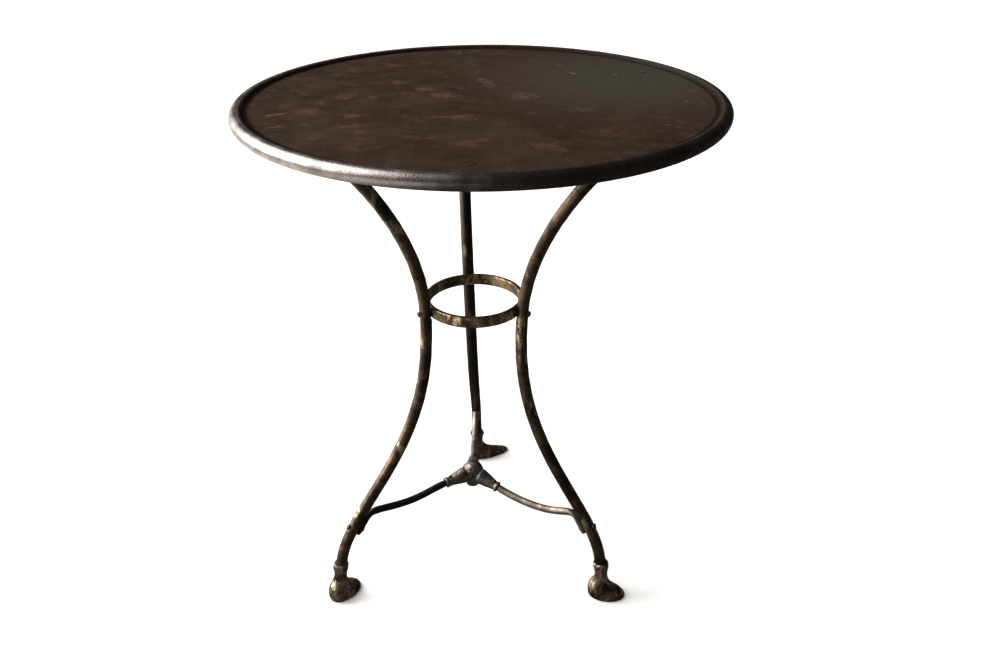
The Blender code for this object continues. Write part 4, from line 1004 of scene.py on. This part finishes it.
# %% geometry tree: rivet heads
def make_rivet_heads():
    sockets = [("Geometry", "Geometry", None), ("Material", "Material", None), ("Seed", "Int", 5)]
    group, given, result = new_group("GeometryNodeTree", "rivet_heads", sockets, [("Geometry", "Geometry")])
    ball_links = {"Segments": 20, "Rings": 14, "Radius": 1.0}
    ball = add_node(group, "GeometryNodeMeshUVSphere", ball_links).outputs["Mesh"]
    here = add_node(group, "GeometryNodeInputPosition").outputs[0]
    parts = add_node(group, "ShaderNodeSeparateXYZ", {0: here})
    below = sums(group, "MULTIPLY", sums(group, "MINIMUM", parts.outputs["Z"], 0.0), 0.45)
    height = sums(group, "ADD", sums(group, "MAXIMUM", parts.outputs["Z"], 0.0), below)
    xyz = {"X": parts.outputs["X"], "Y": parts.outputs["Y"], "Z": height}
    dome_place = add_node(group, "ShaderNodeCombineXYZ", xyz).outputs[0]
    dome = add_node(group, "GeometryNodeSetPosition", {"Geometry": ball, "Position": dome_place}).outputs[0]
    way = named(group, "way", "FLOAT_VECTOR")
    facing = add_node(group, "FunctionNodeAlignRotationToVector", {"Vector": way}, axis="Z").outputs[0]
    size = named(group, "size", "FLOAT_VECTOR")
    seed_link = {"Seed": given.outputs["Seed"]}
    vary = add_node(group, "FunctionNodeRandomValue", seed_link, data_type="FLOAT_VECTOR")
    vary.inputs[0].default_value = (0.90, 0.90, 0.85)
    vary.inputs[1].default_value = (1.0, 1.0, 1.0)
    scale = vectors(group, "MULTIPLY", size, vary.outputs[0]).outputs[0]
    links = {"Points": given.outputs["Geometry"], "Instance": dome, "Rotation": facing, "Scale": scale}
    heads = add_node(group, "GeometryNodeInstanceOnPoints", links).outputs[0]
    real = add_node(group, "GeometryNodeRealizeInstances", {0: heads}).outputs[0]
    skin = add_node(group, "GeometryNodeGroup", node_tree=HAMMERED)
    group.links.new(real, skin.inputs["Geometry"])
    skin.inputs["Blow Depth"].default_value = 0.00018
    skin.inputs["Blow Size"].default_value = 0.003
    end_tree(group, skin.outputs[0], given, result)
    return group


RIVET_HEADS = make_rivet_heads()


# %% rivets and pins
def make_heads(name, nodes, seed, material=RIVET_IRON):
    rows = [row for node in nodes for row in head_rows(node)]
    mesh = bpy.data.meshes.new(name + "_points")
    mesh.from_pydata([tuple(row[0]) for row in rows], [], [])
    ways = np.array([row[1] for row in rows], np.float32).ravel()
    sizes = np.array([(row[2], row[2], row[3]) for row in rows], np.float32).ravel()
    mesh.attributes.new("way", "FLOAT_VECTOR", "POINT").data.foreach_set("vector", ways)
    mesh.attributes.new("size", "FLOAT_VECTOR", "POINT").data.foreach_set("vector", sizes)
    heads = made_with(RIVET_HEADS, name, mesh, material, Seed=seed)
    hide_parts(*nodes)
    print(name, "heads", len(rows), "widest", round(2 * max(row[2] for row in rows), 4))
    return heads


TOP_RIVETS = [f"top_rivet_{place_name}_{side}" for place_name in PLACES for side in ("inner", "outer")]
RING_RIVETS = ["ring_rivet_after_" + place_name for place_name in PLACES]
HEADS = [
    make_heads("top_rivet_heads", TOP_RIVETS, 3, material=SHEET_PATINA),
    make_heads("ring_rivet_heads", RING_RIVETS, 4, material=SHEET_PATINA),
]
for seed, kind in enumerate(("collar_rivet", "arm_rivet", "hub_pin", "foot_pin"), 5):
    HEADS.append(make_heads(kind + "_heads", [f"{kind}_{place_name}" for place_name in PLACES], seed))

# %% [markdown]
# A plain pale floor and a soft studio: one broad bright window on the left, a dim room elsewhere. Dark iron shows
# mostly what it reflects, so the room has to be dim for the legs to stay near black while the floor is white.
# So reflections see a narrower, brighter window, and a floor that is pale only on the window's side. The world is
# a smooth lobe of light, and the floor takes its brightness from it evenly, out to the horizon.


# %% floor and light
def make_floor():
    mesh = bpy.data.meshes.new("floor")
    shape = bmesh.new()
    bmesh.ops.create_circle(shape, cap_ends=True, segments=96, radius=60.0)
    bmesh.ops.translate(shape, verts=shape.verts, vec=(0.0, 0.0, cad_low.z - 0.0004))
    shape.to_mesh(mesh)
    shape.free()
    floor = bpy.data.objects.new("floor", mesh)
    bpy.context.scene.collection.objects.link(floor)
    material = bpy.data.materials.new("pale_floor")
    material.use_nodes = True
    tree = material.node_tree
    tree.nodes["Principled BSDF"].inputs["Roughness"].default_value = 0.9
    tree.nodes["Principled BSDF"].inputs["Specular IOR Level"].default_value = 0.1
    place = add_node(tree, "ShaderNodeTexCoord").outputs["Object"]
    aside = add_node(tree, "ShaderNodeSeparateXYZ", {0: place}).outputs["X"]
    lit = mixed(tree, ramp(tree, aside, -0.85, -0.25), (0.98, 0.93, 0.84, 1), (0.035, 0.032, 0.028, 1))
    path = add_node(tree, "ShaderNodeLightPath")
    pale = mixed(tree, path.outputs["Is Glossy Ray"], (0.93, 0.93, 0.93, 1), lit)
    tree.links.new(pale, tree.nodes["Principled BSDF"].inputs["Base Color"])
    mesh.materials.append(material)


def make_world():
    world = bpy.data.worlds.new("studio")
    world.use_nodes = True
    tree = world.node_tree
    towards = add_node(tree, "ShaderNodeTexCoord").outputs["Generated"]
    window = Vector((-0.74, 0.14, 0.66)).normalized()
    near = vectors(tree, "DOT_PRODUCT", towards, tuple(window)).outputs["Value"]
    lobe = ramp(tree, near, 0.25, 0.95, 0.20, 2.9)
    low_window = Vector((-0.86, 0.16, 0.46)).normalized()
    faced = vectors(tree, "DOT_PRODUCT", towards, tuple(low_window)).outputs["Value"]
    window_pane = ramp(tree, faced, 0.66, 0.92, 0.015, 9.0)
    path = add_node(tree, "ShaderNodeLightPath")
    glossy = path.outputs["Is Glossy Ray"]
    strength = add_node(tree, "ShaderNodeMix", {0: glossy, 2: lobe, 3: window_pane}, data_type="FLOAT").outputs[0]
    seen = path.outputs["Is Camera Ray"]
    strength = add_node(tree, "ShaderNodeMix", {0: seen, 2: strength, 3: 0.97}, data_type="FLOAT").outputs[0]
    back = tree.nodes["Background"]
    back.inputs["Color"].default_value = (1.0, 0.985, 0.96, 1.0)
    tree.links.new(strength, back.inputs["Strength"])
    bpy.context.scene.world = world


def add_softbox(name, place, aim, width, height, power, tint):
    light = bpy.data.lights.new(name, "AREA")
    light.shape = "RECTANGLE"
    light.size, light.size_y = width, height
    light.energy = power
    light.color = tint
    holder = bpy.data.objects.new(name, light)
    holder.location = place
    holder.rotation_euler = (Vector(aim) - Vector(place)).to_track_quat("-Z", "Y").to_euler()
    bpy.context.scene.collection.objects.link(holder)


make_floor()
make_world()
add_softbox("window", (-2.0, 0.25, 1.5), (0.0, 0.0, 0.45), 1.1, 1.5, 55.0, (1.0, 0.96, 0.90))
bpy.context.scene.view_settings.view_transform = "Standard"

# %% [markdown]
# Last, every piece rides on the table's one body.

# %% ride on the body
for piece in [TOP, *LEGS, *ARMS, *RINGS, *CASTINGS, *HEADS]:
    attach(piece, "root")
